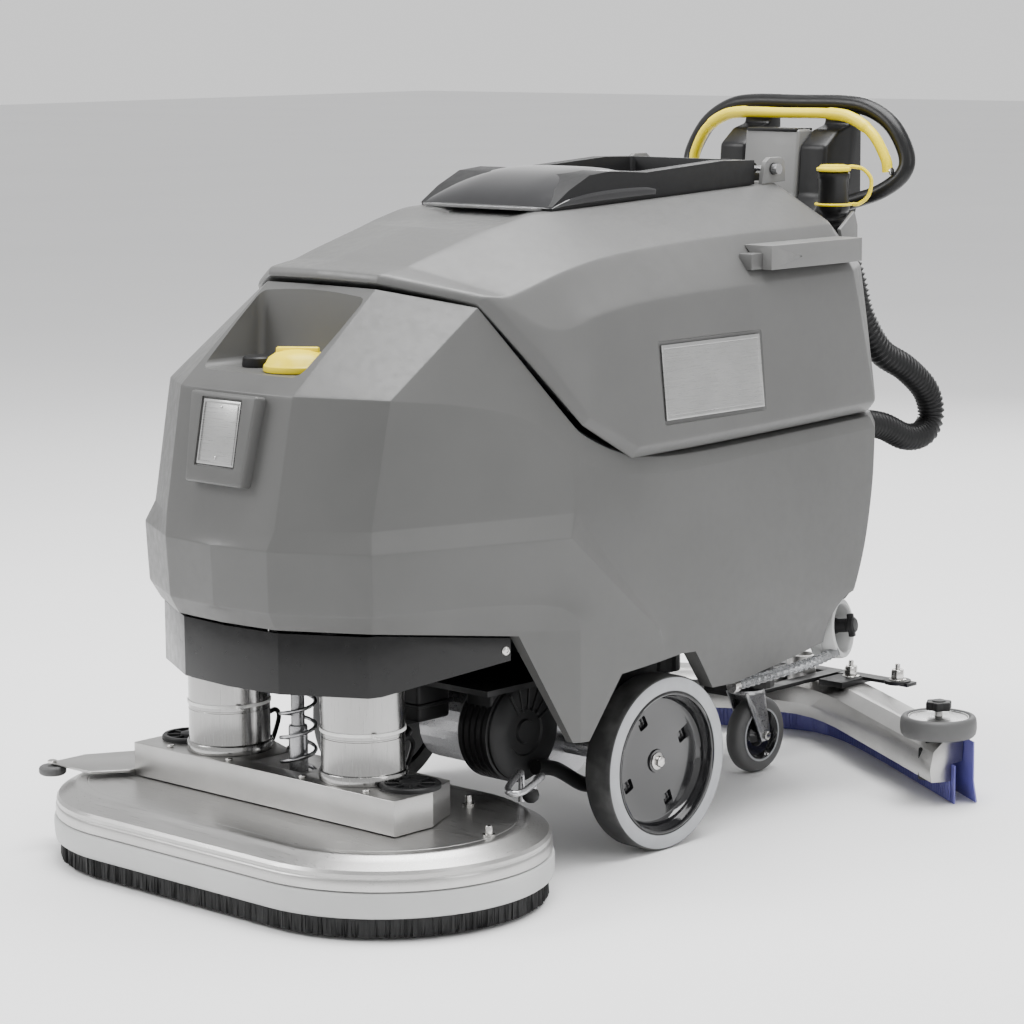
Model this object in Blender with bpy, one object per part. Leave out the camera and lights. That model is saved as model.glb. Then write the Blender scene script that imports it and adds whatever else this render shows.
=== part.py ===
"""Walk-behind floor scrubber: two-disc scrub deck, drive axle, casters, V squeegee, tanks, lid and handle.

Metres, +Z up.  The front faces -Y, the operator stands at +Y, and the machine is symmetric about x = 0.
Every coordinate below is measured from the drive axle's station; MACHINE_SHIFT then moves the whole machine
so that its origin is at the middle of its footprint, on the floor.
"""

import math

import bmesh
import bpy
from mathutils import Matrix, Vector

# ---------------------------------------------------------------- driving dimensions
MACHINE_SHIFT = -0.0594
GAP = 0.0004

DRIVE_WHEEL_RADIUS = 0.127
DRIVE_WHEEL_WIDTH = 0.048
DRIVE_WHEEL_X = 0.280
CASTER_RADIUS = 0.061
CASTER_WIDTH = 0.029
CASTER_X = 0.097
CASTER_Y = 0.455
CASTER_TRAIL = 0.022

DECK_Y = -0.440
DECK_HALF_STRAIGHT = 0.180
DECK_END_RADIUS = 0.226
BRUSH_X = 0.186
BRUSH_RADIUS = 0.176
MOTOR_X = 0.136
MOTOR_RADIUS = 0.058
GEAR_CASE_HALF = 0.266
GEAR_CASE_FRONT = -0.512
GEAR_CASE_TOP = 0.160
PLUNGER_Y = -0.437
PLUNGER_RADIUS = 0.0095

SQUEEGEE_APEX_Y = 0.790
SQUEEGEE_SWEEP = 0.63
SQUEEGEE_NOSE = 0.045
SQUEEGEE_HALF = 0.478
BUMPER_X = 0.425
BUMPER_Y = 0.490
BUMPER_RADIUS = 0.058
SQUEEGEE_PIVOT = (0.0, 0.490, 0.165)

LID_HALF = 0.130
LID_FRONT = -0.050
LID_REAR = 0.405
LID_PIVOT_Y = 0.438
LID_PIVOT_Z = 0.951
ROOF_LEVEL = 0.9121
ROOF_SLOPE = 0.0394

HANDLE_TUBE = 0.0125
BAIL_TUBE = 0.0075
HOSE_RADIUS = 0.022
HOSE_X = 0.205
NECK = (0.165, 0.556)
STRAP_WAY = (0.848, 0.530)

# Half outlines of the lower body, floor side first: x, y, z at each crease from front centre to rear centre.
BODY_ROWS = (
    ((0, -.560, .180), (.095, -.552, .180), (.205, -.490, .180), (.306, -.188, .180), (.312, -.040, .180),
     (.311, -.030, .180), (.308, .040, .180), (.300, .110, .180), (.268, .400, .180), (.225, .430, .180),
     (0, .440, .180)),
    ((0, -.573, .377), (.098, -.565, .377), (.214, -.499, .377), (.313, -.195, .350), (.320, -.036, .327),
     (.319, -.026, .323), (.318, .040, .320), (.315, .105, .318), (.300, .443, .321), (.262, .490, .321),
     (0, .500, .321)),
    ((0, -.588, .402), (.100, -.579, .402), (.226, -.509, .402), (.316, -.215, .402), (.323, -.127, .402),
     (.3185, -.104, .402), (.319, .000, .390), (.316, .133, .390), (.300, .468, .380), (.258, .522, .380),
     (0, .534, .380)),
    ((0, -.592, .486), (.102, -.583, .486), (.229, -.512, .486), (.313, -.262, .485), (.326, -.226, .484),
     (.3166, -.179, .484), (.318, -.040, .460), (.316, .133, .460), (.302, .480, .460), (.261, .535, .460),
     (0, .547, .460)),
    ((0, -.582, .515), (.109, -.574, .515), (.218, -.501, .515), (.303, -.247, .515), (.316, -.209, .515),
     (.3162, -.201, .513), (.318, -.050, .500), (.316, .133, .500), (.303, .483, .500), (.262, .538, .500),
     (0, .550, .500)),
    ((0, -.548, .690), (.112, -.540, .690), (.221, -.466, .686), (.277, -.250, .660), (.303, -.190, .585),
     (.305, -.182, .581), (.317, -.081, .546), (.315, .133, .553), (.303, .485, .563), (.262, .540, .563),
     (0, .552, .563)),
    ((0, -.388, .824), (.108, -.379, .822), (.220, -.296, .798), (.256, -.236, .711), (.292, -.178, .624),
     (.294, -.172, .619), (.307, -.078, .567), (.306, .133, .572), (.296, .480, .581), (.257, .533, .582),
     (0, .543, .582)),
)

# The recovery tank in the same way, from its seam up to the edge of its flat roof.
TANK_ROWS = (
    ((0, -.388, .830), (.108, -.379, .828), (.219, -.298, .803), (.258, -.232, .714), (.294, -.172, .628),
     (.304, -.080, .573), (.302, .133, .577), (.292, .478, .586), (.254, .529, .587), (0, .540, .587)),
    ((0, -.384, .844), (.109, -.374, .842), (.228, -.285, .813), (.270, -.222, .727), (.304, -.163, .640),
     (.3165, -.075, .592), (.315, .133, .594), (.304, .485, .603), (.262, .541, .604), (0, .553, .604)),
    ((0, -.340, .853), (.112, -.322, .849), (.236, -.262, .810), (.276, -.205, .752), (.287, -.140, .775),
     (.292, -.060, .790), (.294, .100, .798), (.290, .445, .803), (.254, .512, .806), (0, .525, .808)),
    ((0, -.300, .868), (.115, -.280, .862), (.237, -.246, .812), (.243, -.190, .829), (.240, -.130, .842),
     (.237, -.050, .855), (.238, .150, .867), (.240, .452, .871), (.214, .480, .873), (0, .495, .875)),
    ((0, -.200, .893), (.112, -.180, .889), (.122, -.150, .8975), (.126, -.120, .9026), (.128, -.090, .9086),
     (.140, -.050, .9101), (.142, .150, .9180), (.142, .440, .9294), (.112, .470, .9306), (0, .478, .9309)),
)

# Middle of the badge plate on the nose, and how far it leans back.
PLATE_FOOT = (0, -.5712, .636)
PLATE_TILT = math.radians(11.3)

# Grey collar at the rear corner, and the scoop in the body that leaves room for it.
COLLAR_FOOT = (.240, .430, .251)
COLLAR_TURN = (math.radians(83), 0, math.radians(106.4))
COLLAR_SCOOP = (.2875, .444, .257)

# What is cut away under the body, seen from its side: y, z round the region below the lower edge.
BODY_UNDERSIDE = (
    (-.720, .379), (-.499, .377), (-.287, .352), (-.200, .191), (-.171, .189), (-.110, .276), (.018, .286),
    (.050, .284), (.098, .222), (.158, .219), (.304, .233), (.400, .245), (.620, .262), (.620, .080),
    (-.720, .080),
)

PLATE_MIDDLE = (.3067, .099, .675)
PLATE_LEAN = math.atan(.021 / .204)

COLLECTION = "floor_scrubber"
SIDES = ((1, "left"), (-1, "right"))


# ---------------------------------------------------------------- scene and materials
def clear_scene():
    for obj in list(bpy.data.objects):
        bpy.data.objects.remove(obj, do_unlink=True)


def collection(name):
    found = bpy.data.collections.new(name)
    bpy.context.scene.collection.children.link(found)
    return found


def material(name, colour, roughness=0.5, metallic=0.0):
    made = bpy.data.materials.new(name)
    made.use_nodes = True
    shader = made.node_tree.nodes["Principled BSDF"]
    shader.inputs["Base Color"].default_value = (*colour, 1.0)
    shader.inputs["Roughness"].default_value = roughness
    shader.inputs["Metallic"].default_value = metallic
    made.diffuse_color = (*colour, 1.0)
    return made


def make_materials():
    return {
        "body_grey": material("body_grey", (.17, .17, .165), .48),
        "tank_grey": material("tank_grey", (.20, .20, .195), .48),
        "trim_grey": material("trim_grey", (.36, .36, .35), .5),
        "band_grey": material("band_grey", (.48, .48, .47), .5),
        "black": material("black_plastic", (.015, .015, .016), .4),
        "rubber": material("dark_rubber", (.035, .035, .036), .75),
        "grey_rubber": material("grey_rubber", (.09, .09, .09), .65),
        "ring_grey": material("tread_ring_grey", (.42, .43, .44), .6),
        "yellow": material("signal_yellow", (.90, .86, .03), .4),
        "violet": material("blade_violet", (.13, .12, .36), .5),
        "bristle": material("bristle_black", (.01, .01, .01), .9),
        "cast": material("cast_aluminium", (.56, .55, .53), .35, .9),
        "steel": material("bright_steel", (.62, .62, .62), .25, 1.0),
        "painted": material("painted_steel", (.05, .05, .052), .5, .2),
        "red": material("stop_red", (.6, .02, .02), .4),
    }


# ---------------------------------------------------------------- shape helpers
def add_object(name, mesh, where, finish):
    obj = bpy.data.objects.new(name, mesh)
    where.objects.link(obj)
    mesh.materials.clear()
    mesh.materials.append(finish)
    mesh.shade_smooth()
    mesh.set_sharp_from_angle(angle=math.radians(32))
    return obj


def mesh_from_bmesh(name, built):
    bmesh.ops.recalc_face_normals(built, faces=built.faces)
    mesh = bpy.data.meshes.new(name)
    built.to_mesh(mesh)
    built.free()
    return mesh


class Maker:
    """Makes each named solid in the part's collection and its cutters in another."""

    def __init__(self):
        self.parts = collection(COLLECTION)
        self.cutters = collection("cutters")
        self.finish = make_materials()
        self.origin = bpy.data.objects.new("machine_origin", None)
        self.origin.location = (0, MACHINE_SHIFT, 0)
        self.parts.objects.link(self.origin)

    def place(self, name, mesh, finish, at=(0, 0, 0), turn=(0, 0, 0)):
        obj = add_object(name, mesh, self.parts, self.finish[finish])
        obj.parent = self.origin
        obj.location = at
        obj.rotation_euler = turn
        return obj

    def centre_on(self, obj, point):
        """Move an object's origin to a point of its joint axis without moving its surface."""
        obj.data.transform(Matrix.Translation(-Vector(point)))
        obj.location = point
        return obj

    def boolean(self, target, tool_mesh, operation="DIFFERENCE", at=(0, 0, 0), turn=(0, 0, 0)):
        """Cut or join target with a mesh placed in target's own frame, and keep the result as its mesh."""
        tool = bpy.data.objects.new(target.name + "_cutter", tool_mesh)
        self.cutters.objects.link(tool)
        tool.parent = target
        tool.location = at
        tool.rotation_euler = turn
        tool.hide_render = True
        tool.display_type = "WIRE"
        step = target.modifiers.new("joint", "BOOLEAN")
        step.operation = operation
        step.solver = "EXACT"
        step.object = tool
        bpy.context.view_layer.update()
        graph = bpy.context.evaluated_depsgraph_get()
        result = bpy.data.meshes.new_from_object(target.evaluated_get(graph))
        target.modifiers.remove(step)
        keep = target.data.materials[0]
        target.data = result
        result.materials.clear()
        result.materials.append(keep)
        result.polygons.foreach_set("material_index", [0] * len(result.polygons))
        bpy.data.objects.remove(tool, do_unlink=True)
        return target


def box_mesh(low, high):
    built = bmesh.new()
    size = [b - a for a, b in zip(low, high)]
    middle = [(a + b) / 2 for a, b in zip(low, high)]
    bmesh.ops.create_cube(built, size=1.0)
    bmesh.ops.scale(built, vec=size, verts=built.verts)
    bmesh.ops.translate(built, vec=middle, verts=built.verts)
    return mesh_from_bmesh("box", built)


def rounded_box_mesh(low, high, radius, segments=2):
    built = bmesh.new()
    built.from_mesh(box_mesh(low, high))
    bmesh.ops.bevel(built, geom=built.edges[:], offset=radius, segments=segments, profile=0.5,
                    affect="EDGES")
    return mesh_from_bmesh("rounded_box", built)


def cylinder_mesh(radius, length, sides=32, axis="z", middle=(0, 0, 0), top_radius=None):
    built = bmesh.new()
    bmesh.ops.create_cone(built, cap_ends=True, segments=sides, radius1=radius,
                          radius2=radius if top_radius is None else top_radius, depth=length)
    if axis == "x":
        bmesh.ops.rotate(built, matrix=Matrix.Rotation(math.pi / 2, 3, "Y"), verts=built.verts)
    if axis == "y":
        bmesh.ops.rotate(built, matrix=Matrix.Rotation(-math.pi / 2, 3, "X"), verts=built.verts)
    bmesh.ops.translate(built, vec=middle, verts=built.verts)
    return mesh_from_bmesh("cylinder", built)


def extruded_mesh(outline, low, high, axis="z"):
    """A prism over a flat outline: axis x takes (y, z) points, axis z takes (x, y) points."""
    built = bmesh.new()
    if axis == "x":
        points = [(low, a, b) for a, b in outline]
        along = (high - low, 0, 0)
    else:
        points = [(a, b, low) for a, b in outline]
        along = (0, 0, high - low)
    face = built.faces.new([built.verts.new(p) for p in points])
    grown = bmesh.ops.extrude_face_region(built, geom=[face])
    moved = [v for v in grown["geom"] if isinstance(v, bmesh.types.BMVert)]
    bmesh.ops.translate(built, vec=along, verts=moved)
    return mesh_from_bmesh("prism", built)


def turned_mesh(profile, sides=32, axis="z", middle=(0, 0, 0)):
    """A closed ring or disc turned from (radius, height) points; points on the axis close it there."""
    built = bmesh.new()
    verts = [built.verts.new((r, 0, h)) for r, h in profile]
    edges = [built.edges.new(pair) for pair in zip(verts, verts[1:])]
    if min(r for r, _ in profile) > 1e-6:
        edges.append(built.edges.new((verts[-1], verts[0])))
    bmesh.ops.spin(built, geom=verts + edges, cent=(0, 0, 0), axis=(0, 0, 1), angle=2 * math.pi,
                   steps=sides, use_merge=True)
    bmesh.ops.remove_doubles(built, verts=built.verts, dist=1e-5)
    if axis == "x":
        bmesh.ops.rotate(built, matrix=Matrix.Rotation(math.pi / 2, 3, "Y"), verts=built.verts)
    bmesh.ops.translate(built, vec=middle, verts=built.verts)
    return mesh_from_bmesh("turned", built)


def tube_mesh(points, radius, resolution=3, cyclic=False):
    """A round bar along points: a curve with a bevel, its caps welded."""
    curve = bpy.data.curves.new("tube", "CURVE")
    curve.dimensions = "3D"
    line = curve.splines.new("POLY")
    line.points.add(len(points) - 1)
    for place, point in zip(line.points, points):
        place.co = (*point, 1)
    line.use_cyclic_u = cyclic
    curve.bevel_depth = radius
    curve.bevel_resolution = resolution
    curve.use_fill_caps = True
    holder = bpy.data.objects.new("tube", curve)
    bpy.context.scene.collection.objects.link(holder)
    bpy.context.view_layer.update()
    graph = bpy.context.evaluated_depsgraph_get()
    mesh = bpy.data.meshes.new_from_object(holder.evaluated_get(graph))
    bpy.data.objects.remove(holder, do_unlink=True)
    built = bmesh.new()
    built.from_mesh(mesh)
    bmesh.ops.remove_doubles(built, verts=built.verts, dist=1e-5)
    return mesh_from_bmesh("tube", built)


def smooth_path(points, steps=4):
    """Points along a centripetal curve through the given ones, steps to each span."""
    knots = [Vector(p) for p in points]
    knots = [2 * knots[0] - knots[1]] + knots + [2 * knots[-1] - knots[-2]]
    path = []
    for a, b, c, d in zip(knots, knots[1:], knots[2:], knots[3:]):
        for i in range(steps):
            t = i / steps
            path.append(0.5 * (2 * b + (c - a) * t + (2 * a - 5 * b + 4 * c - d) * t ** 2
                               + (3 * b - a - 3 * c + d) * t ** 3))
    path.append(knots[-2])
    return [tuple(p) for p in path]


def mirrored_shell(rows):
    """A closed skin through half rows and their mirror images, with its bottom and roof filled."""
    built = bmesh.new()
    rings = []
    for row in rows:
        right = [built.verts.new((-x, y, z)) for x, y, z in row[1:-1]]
        left = [built.verts.new(p) for p in row]
        rings.append(left + right[::-1])
    for low, high in zip(rings, rings[1:]):
        count = len(low)
        for i in range(count):
            j = (i + 1) % count
            built.faces.new((low[i], low[j], high[j], high[i]))
    built.faces.new(rings[0][::-1])
    built.faces.new(rings[-1])
    bmesh.ops.triangulate(built, faces=[f for f in built.faces if len(f.verts) > 4])
    return mesh_from_bmesh("shell", built)


def stadium(half_straight, radius, middle_y, steps=16):
    """Outline of a slot shape, long in x."""
    points = []
    for side in (1, -1):
        for i in range(steps + 1):
            angle = -math.pi / 2 + math.pi * i / steps
            points.append((side * (half_straight + radius * math.cos(angle)),
                           middle_y + side * radius * math.sin(angle)))
    return points


def stacked_mesh(layers):
    """A closed solid through flat outlines of equal count at rising heights."""
    built = bmesh.new()
    rings = [[built.verts.new((x, y, z)) for x, y in outline] for outline, z in layers]
    for low, high in zip(rings, rings[1:]):
        count = len(low)
        for i in range(count):
            j = (i + 1) % count
            built.faces.new((low[i], low[j], high[j], high[i]))
    built.faces.new(rings[0][::-1])
    built.faces.new(rings[-1])
    return mesh_from_bmesh("stack", built)


def squeegee_line(x):
    return SQUEEGEE_APEX_Y - math.sqrt((SQUEEGEE_SWEEP * x) ** 2 + SQUEEGEE_NOSE ** 2)


def swept_along_squeegee(section, half, steps=24):
    """A closed bar whose (offset, z) section follows the swept line of the squeegee."""
    built = bmesh.new()
    rings = []
    for i in range(steps + 1):
        x = half * (2 * i / steps - 1)
        rings.append([built.verts.new((x, squeegee_line(x) + off, z)) for off, z in section])
    for low, high in zip(rings, rings[1:]):
        count = len(low)
        for k in range(count):
            j = (k + 1) % count
            built.faces.new((low[k], high[k], high[j], low[j]))
    built.faces.new(rings[0])
    built.faces.new(rings[-1][::-1])
    return mesh_from_bmesh("swept", built)


# ---------------------------------------------------------------- body
def build_lower_body(make):
    body = make.place("lower_body", mirrored_shell(BODY_ROWS), "body_grey")
    make.boolean(body, extruded_mesh(BODY_UNDERSIDE, -.5, .5, "x"))
    make.boolean(body, box_mesh((-.064, .0017, -.070), (.064, .0300, .054)), "UNION", at=PLATE_FOOT,
                 turn=(-PLATE_TILT, 0, 0))
    front = [(.292, -.200), (.208, -.485), (.092, -.555), (-.092, -.555), (-.208, -.485), (-.292, -.200)]
    bay = [(-.302, -.120), (-.302, .150), (-.288, .440), (-.235, .490), (.235, .490), (.288, .440),
           (.302, .150), (.302, -.120)]
    make.boolean(body, extruded_mesh(bay + front, .330, .545))
    low_bay = [(-.292, -.120), (-.288, .060), (-.256, .400), (-.241, .442), (.241, .442), (.256, .400),
               (.288, .060), (.292, -.120)]
    make.boolean(body, extruded_mesh(low_bay + front, .05, .335))
    make.boolean(body, box_mesh((-.136, .400, .05), (.136, .520, .276)))
    make.boolean(body, cylinder_mesh(.056, .140, 32, "z"), at=COLLAR_SCOOP, turn=COLLAR_TURN)
    well = [(-.270, -.130), (-.270, .455), (.270, .455), (.270, -.130)]
    make.boolean(body, extruded_mesh(well, .50, .80))
    recess = [(-.600, .712), (-.402, .712), (-.394, .760), (-.392, .900), (-.600, .900)]
    make.boolean(body, extruded_mesh(recess, -.103, .103, "x"))
    return body


def build_recovery_tank(make):
    tank = make.place("recovery_tank", mirrored_shell(TANK_ROWS), "tank_grey")
    basin = [(-.270, .10), (-.235, -.100), (-.100, -.200), (.100, -.200), (.235, -.100), (.270, .10),
             (.270, .430), (.225, .500), (-.225, .500), (-.270, .430)]
    make.boolean(tank, extruded_mesh(basin, .612, .790))
    make.boolean(tank, box_mesh((-.095, .000, .70), (.095, .360, 1.0)))
    for side in (1, -1):
        pocket = box_mesh((-.0036, -.113, -.057), (.030, .113, .057))
        if side < 0:
            pocket = box_mesh((-.030, -.113, -.057), (.0036, .113, .057))
        at = (side * PLATE_MIDDLE[0], *PLATE_MIDDLE[1:])
        make.boolean(tank, pocket, at=at, turn=(0, -side * PLATE_LEAN, 0))
    return tank


def build_apron(make):
    outer = [(0, -.567), (.095, -.559), (.206, -.499), (.272, -.292), (.266, -.290), (.200, -.494),
             (.092, -.553), (0, -.561)]
    outline = outer[:4] + outer[4:] + [(-x, y) for x, y in outer[6:3:-1]] + [(-x, y) for x, y in outer[3:0:-1]]
    apron = make.place("front_apron", extruded_mesh(outline, .288, .372), "black")
    wedge = [(-.560, .20), (-.560, .2885), (-.480, .2885), (-.290, .318), (-.200, .318), (-.200, .20)]
    make.boolean(apron, extruded_mesh(wedge, -.5, .5, "x"))
    top = [(-.600, .3737), (-.499, .3735), (-.280, .3475), (-.280, .40), (-.600, .40)]
    make.boolean(apron, extruded_mesh(top, -.5, .5, "x"))
    return apron


def build_nose_fittings(make):
    """Badge plate, filler cap and its neighbour in the nose recess."""
    plate = rounded_box_mesh((-.037, -.0015, -.044), (.037, .0015, .044), .001, 1)
    make.place("nose_badge_plate", plate, "steel", at=PLATE_FOOT, turn=(-PLATE_TILT, 0, 0))
    cap_profile = [(0, .030), (.018, .028), (.036, .021), (.045, .008), (.047, 0), (0, 0)]
    make.place("fresh_water_cap", turned_mesh(cap_profile, 24), "yellow", at=(.034, -.456, .7124))


def build_side_fittings(make):
    """Blank name plates on both tank sides and the cloth holder on the left one."""
    for side, name in SIDES:
        at = (side * (PLATE_MIDDLE[0] - .0020), *PLATE_MIDDLE[1:])
        plate = box_mesh((-.0012, -.109, -.053), (.0012, .109, .053))
        make.place("side_plate_" + name, plate, "steel", at=at, turn=(0, -side * PLATE_LEAN, 0))
    outline = [(.262, .818), (.303, .818), (.303, .853), (.250, .853)]
    built = bmesh.new()
    faces = []
    for y in (.232, .448):
        faces.append([built.verts.new((x, y, z)) for x, z in outline])
    for i in range(4):
        j = (i + 1) % 4
        built.faces.new((faces[0][i], faces[0][j], faces[1][j], faces[1][i]))
    built.faces.new(faces[0][::-1])
    built.faces.new(faces[1])
    holder = make.place("cloth_holder", mesh_from_bmesh("holder", built), "body_grey")
    return make.boolean(holder, mirrored_shell(TANK_ROWS), at=(.0006, 0, .0004))


# ---------------------------------------------------------------- lid
def roof_z(y):
    return ROOF_LEVEL + ROOF_SLOPE * y


def build_lid(make):
    front, rear = LID_FRONT, LID_REAR
    outline = [(front, roof_z(front) + GAP), (rear, roof_z(rear) + GAP), (rear, .965), (.330, .967),
               (.235, .962), (.155, .957), (.075, .962), (.030, .958), (-.015, .938), (front, roof_z(front) + .006)]
    lid = make.place("tank_lid", extruded_mesh(outline, -LID_HALF, LID_HALF, "x"), "black")
    make.boolean(lid, rounded_box_mesh((-.104, .165, .938), (.104, .392, 1.05), .006))
    for side in (1, -1):
        low = min(side * .060, side * .104)
        make.boolean(lid, box_mesh((low - .004, .398, .932), (low + .048, .4448, .9435)), "UNION")
        knuckle = cylinder_mesh(.0085, .040, 20, "x", (side * .082, LID_PIVOT_Y, LID_PIVOT_Z))
        make.boolean(lid, knuckle, "UNION")
    bore = cylinder_mesh(.0044, .5, 16, "x", (0, LID_PIVOT_Y, LID_PIVOT_Z))
    make.boolean(lid, bore)
    make.centre_on(lid, (0, LID_PIVOT_Y, LID_PIVOT_Z))
    for side, name in SIDES:
        x0, x1 = sorted((side * .1315, side * .1400))
        ear = [(.412, roof_z(.412) + .0006), (.468, roof_z(.468) + .0006), (.466, .962), (.458, .968),
               (.430, .968), (.420, .962)]
        bracket = make.place("lid_bracket_" + name, extruded_mesh(ear, x0, x1, "x"), "band_grey")
        make.boolean(bracket, cylinder_mesh(.0044, .5, 16, "x", (0, LID_PIVOT_Y, LID_PIVOT_Z)))
    pin = make.place("lid_hinge_pin", cylinder_mesh(.0040, .300, 16, "x"), "steel",
                     at=(0, LID_PIVOT_Y, LID_PIVOT_Z))
    for side in (1, -1):
        make.boolean(pin, cylinder_mesh(.008, .010, 16, "x"), "UNION", at=(side * .1465, 0, 0))
    return lid


# ---------------------------------------------------------------- console and handle
def build_console(make):
    """Console box behind the tank with its black uprights, and the controls on its operator side."""
    shape = [(.5575, .620), (.640, .620), (.690, .900), (.690, .985), (.640, 1.003), (.610, 1.003),
             (.600, .900), (.5575, .840)]
    console = make.place("control_console", extruded_mesh(shape, -.054, .054, "x"), "trim_grey")
    knob = turned_mesh([(0, .022), (.015, .021), (.019, .006), (.021, 0), (0, 0)], 24)
    turn = (-math.pi / 2, 0, 0)
    make.place("programme_knob", knob, "yellow", at=(-.022, .6905, .950), turn=turn)
    key = box_mesh((-.0025, -.010, 0), (.0025, .010, .026))
    make.place("key_switch", key, "steel", at=(.026, .6905, .962), turn=turn)
    stop = turned_mesh([(0, .016), (.013, .013), (.015, .008), (.009, .007), (.009, 0), (0, 0)], 20)
    make.place("stop_button", stop, "red", at=(.026, .6935, .925), turn=turn)


def handle_path():
    half = [(0, .682, 1.042), (.092, .682, 1.042), (.142, .681, 1.034), (.187, .679, 1.008), (.216, .675, .964),
            (.214, .667, .934), (.184, .655, .909), (.142, .643, .893), (.1068, .632, .883)]
    points = half + [(-x, y, z) for x, y, z in half[1:]]
    right = [p for p in points if p[0] < 0]
    return smooth_path(right[::-1] + half, 2)


def build_handle(make):
    handle = make.place("handle_frame", tube_mesh(handle_path(), HANDLE_TUBE, 2), "black")
    leg = [(.560, .780), (.652, .780), (.704, .900), (.704, 1.020), (.692, 1.040), (.673, 1.040),
           (.673, 1.010), (.642, 1.002), (.610, .978), (.604, .900), (.560, .850)]
    for side in (1, -1):
        x0, x1 = sorted((side * .0545, side * .1080))
        make.boolean(handle, extruded_mesh(leg, x0, x1, "x"), "UNION")
    half = [(0, .648, 1.027), (.092, .648, 1.027), (.134, .648, 1.019), (.170, .649, .996), (.193, .651, .960),
            (.196, .653, .939)]
    points = [(-x, y, z) for x, y, z in half[:0:-1]] + half
    bail = make.place("drive_bail", tube_mesh(smooth_path(points, 2), BAIL_TUBE, 2), "yellow")
    make.centre_on(bail, (0, .653, .941))
    return handle


def build_drain(make):
    """Capped drain neck, the hose that hangs behind the tank, and its outlet."""
    x, y = NECK
    neck_profile = [(.0235, .062), (.025, .058), (.025, .004), (.0225, 0), (.016, 0), (.016, .062)]
    make.place("drain_neck", turned_mesh(neck_profile, 24), "black", at=(x, y, .880))
    cap = make.place("drain_cap", turned_mesh([(0, .010), (.022, .009), (.026, .004), (.026, 0), (0, 0)], 24),
                     "yellow", at=(x, y, .9424))
    strap = [(.018, .9475), (.046, .9460), (.060, .930), (.054, .905), (.0292, .892)]
    local = smooth_path([(out * STRAP_WAY[0], out * STRAP_WAY[1], z - .9424) for out, z in strap], 3)
    make.boolean(cap, tube_mesh(local, .003, 1), "UNION")
    route = [(x, y, .874), (.1655, .561, .856), (.167, .572, .835), (.176, .592, .775), (.186, .604, .715),
             (.195, .640, .660), (.203, .697, .628), (.206, .748, .588), (.206, .763, .546), (.205, .742, .520),
             (.204, .697, .519), (.203, .640, .541), (.202, .590, .551), (.202, .566, .552)]
    make.place("drain_hose", tube_mesh([(x, y, .8790)] + smooth_path(route, 2), HOSE_RADIUS, 2), "black")


# ---------------------------------------------------------------- chassis and what it carries
def build_chassis(make):
    tray = make.place("chassis_frame", box_mesh((-.235, -.300, .262), (.235, .430, .270)), "painted")
    for side in (1, -1):
        x0, x1 = sorted((side * .222, side * .234))
        hanger = [(-.060, .265), (.060, .265), (.036, .105), (-.036, .105)]
        make.boolean(tray, extruded_mesh(hanger, x0, x1, "x"), "UNION")
        make.boolean(tray, cylinder_mesh(.0155, .1, 20, "x", (side * .228, 0, DRIVE_WHEEL_RADIUS)))
        pad = cylinder_mesh(.030, .130, 20, "z", (side * CASTER_X, CASTER_Y, .2035))
        make.boolean(tray, pad, "UNION")
    make.boolean(tray, box_mesh((-.130, .420, .250), (.130, .500, .270)), "UNION")
    make.boolean(tray, box_mesh((-.030, -.470, .330), (.030, -.290, .342)), "UNION")
    make.boolean(tray, box_mesh((-.030, -.302, .264), (.030, -.290, .342)), "UNION")
    make.boolean(tray, cylinder_mesh(PLUNGER_RADIUS + .002, .10, 20, "z", (0, PLUNGER_Y, .336)))
    return tray


def build_inside(make):
    make.place("battery_pack", rounded_box_mesh((-.185, -.105, .2706), (.185, .300, .520), .008, 1), "black")
    motor = [(0, .150), (.040, .148), (.046, .120), (.060, .110), (.060, .020), (.054, 0), (0, 0)]
    make.place("suction_motor", turned_mesh(motor, 24), "painted", at=(.100, .368, .2706))
    pump = rounded_box_mesh((-.140, .330, .2706), (-.040, .410, .345), .010, 1)
    make.place("solution_pump", pump, "black")


def build_drive(make):
    """Transaxle between the hangers and the two drive wheels."""
    z = DRIVE_WHEEL_RADIUS
    axle = make.place("drive_axle", cylinder_mesh(.0150, .509, 20, "x", (0, 0, z)), "steel")
    make.boolean(axle, cylinder_mesh(.058, .160, 24, "x", (-.060, 0, z)), "UNION")
    make.boolean(axle, cylinder_mesh(.048, .110, 24, "x", (.060, 0, z)), "UNION")
    housing = cylinder_mesh(.074, .070, 28, "x", (.155, -.175, .186))
    drum = make.place("drive_gear_housing", housing, "black")
    make.boolean(drum, box_mesh((.130, -.235, .215), (.180, -.120, .2614)), "UNION")
    for side, name in SIDES:
        half = DRIVE_WHEEL_WIDTH / 2
        r = DRIVE_WHEEL_RADIUS
        tyre = [(.1035, half), (r - .006, half), (r, half - .006), (r, -half + .006), (r - .006, -half),
                (.1035, -half)]
        at = (side * DRIVE_WHEEL_X, 0, z)
        turn = (0, 0, 0) if side > 0 else (0, 0, math.pi)
        make.place("drive_tyre_" + name, turned_mesh(tyre, 40, "x"), "rubber", at=at, turn=turn)
        hub = [(0, half - .022), (.030, half - .022), (.084, half - .026), (.098, half - .002),
               (.1030, half - .002), (.1030, -half + .004), (.030, -half + .004), (0, -half + .004)]
        disc = make.place("drive_hub_" + name, turned_mesh(hub, 28, "x"), "black", at=at, turn=turn)
        make.boolean(disc, cylinder_mesh(.013, .010, 6, "x", (half - .0190, 0, 0)), "UNION")


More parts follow.
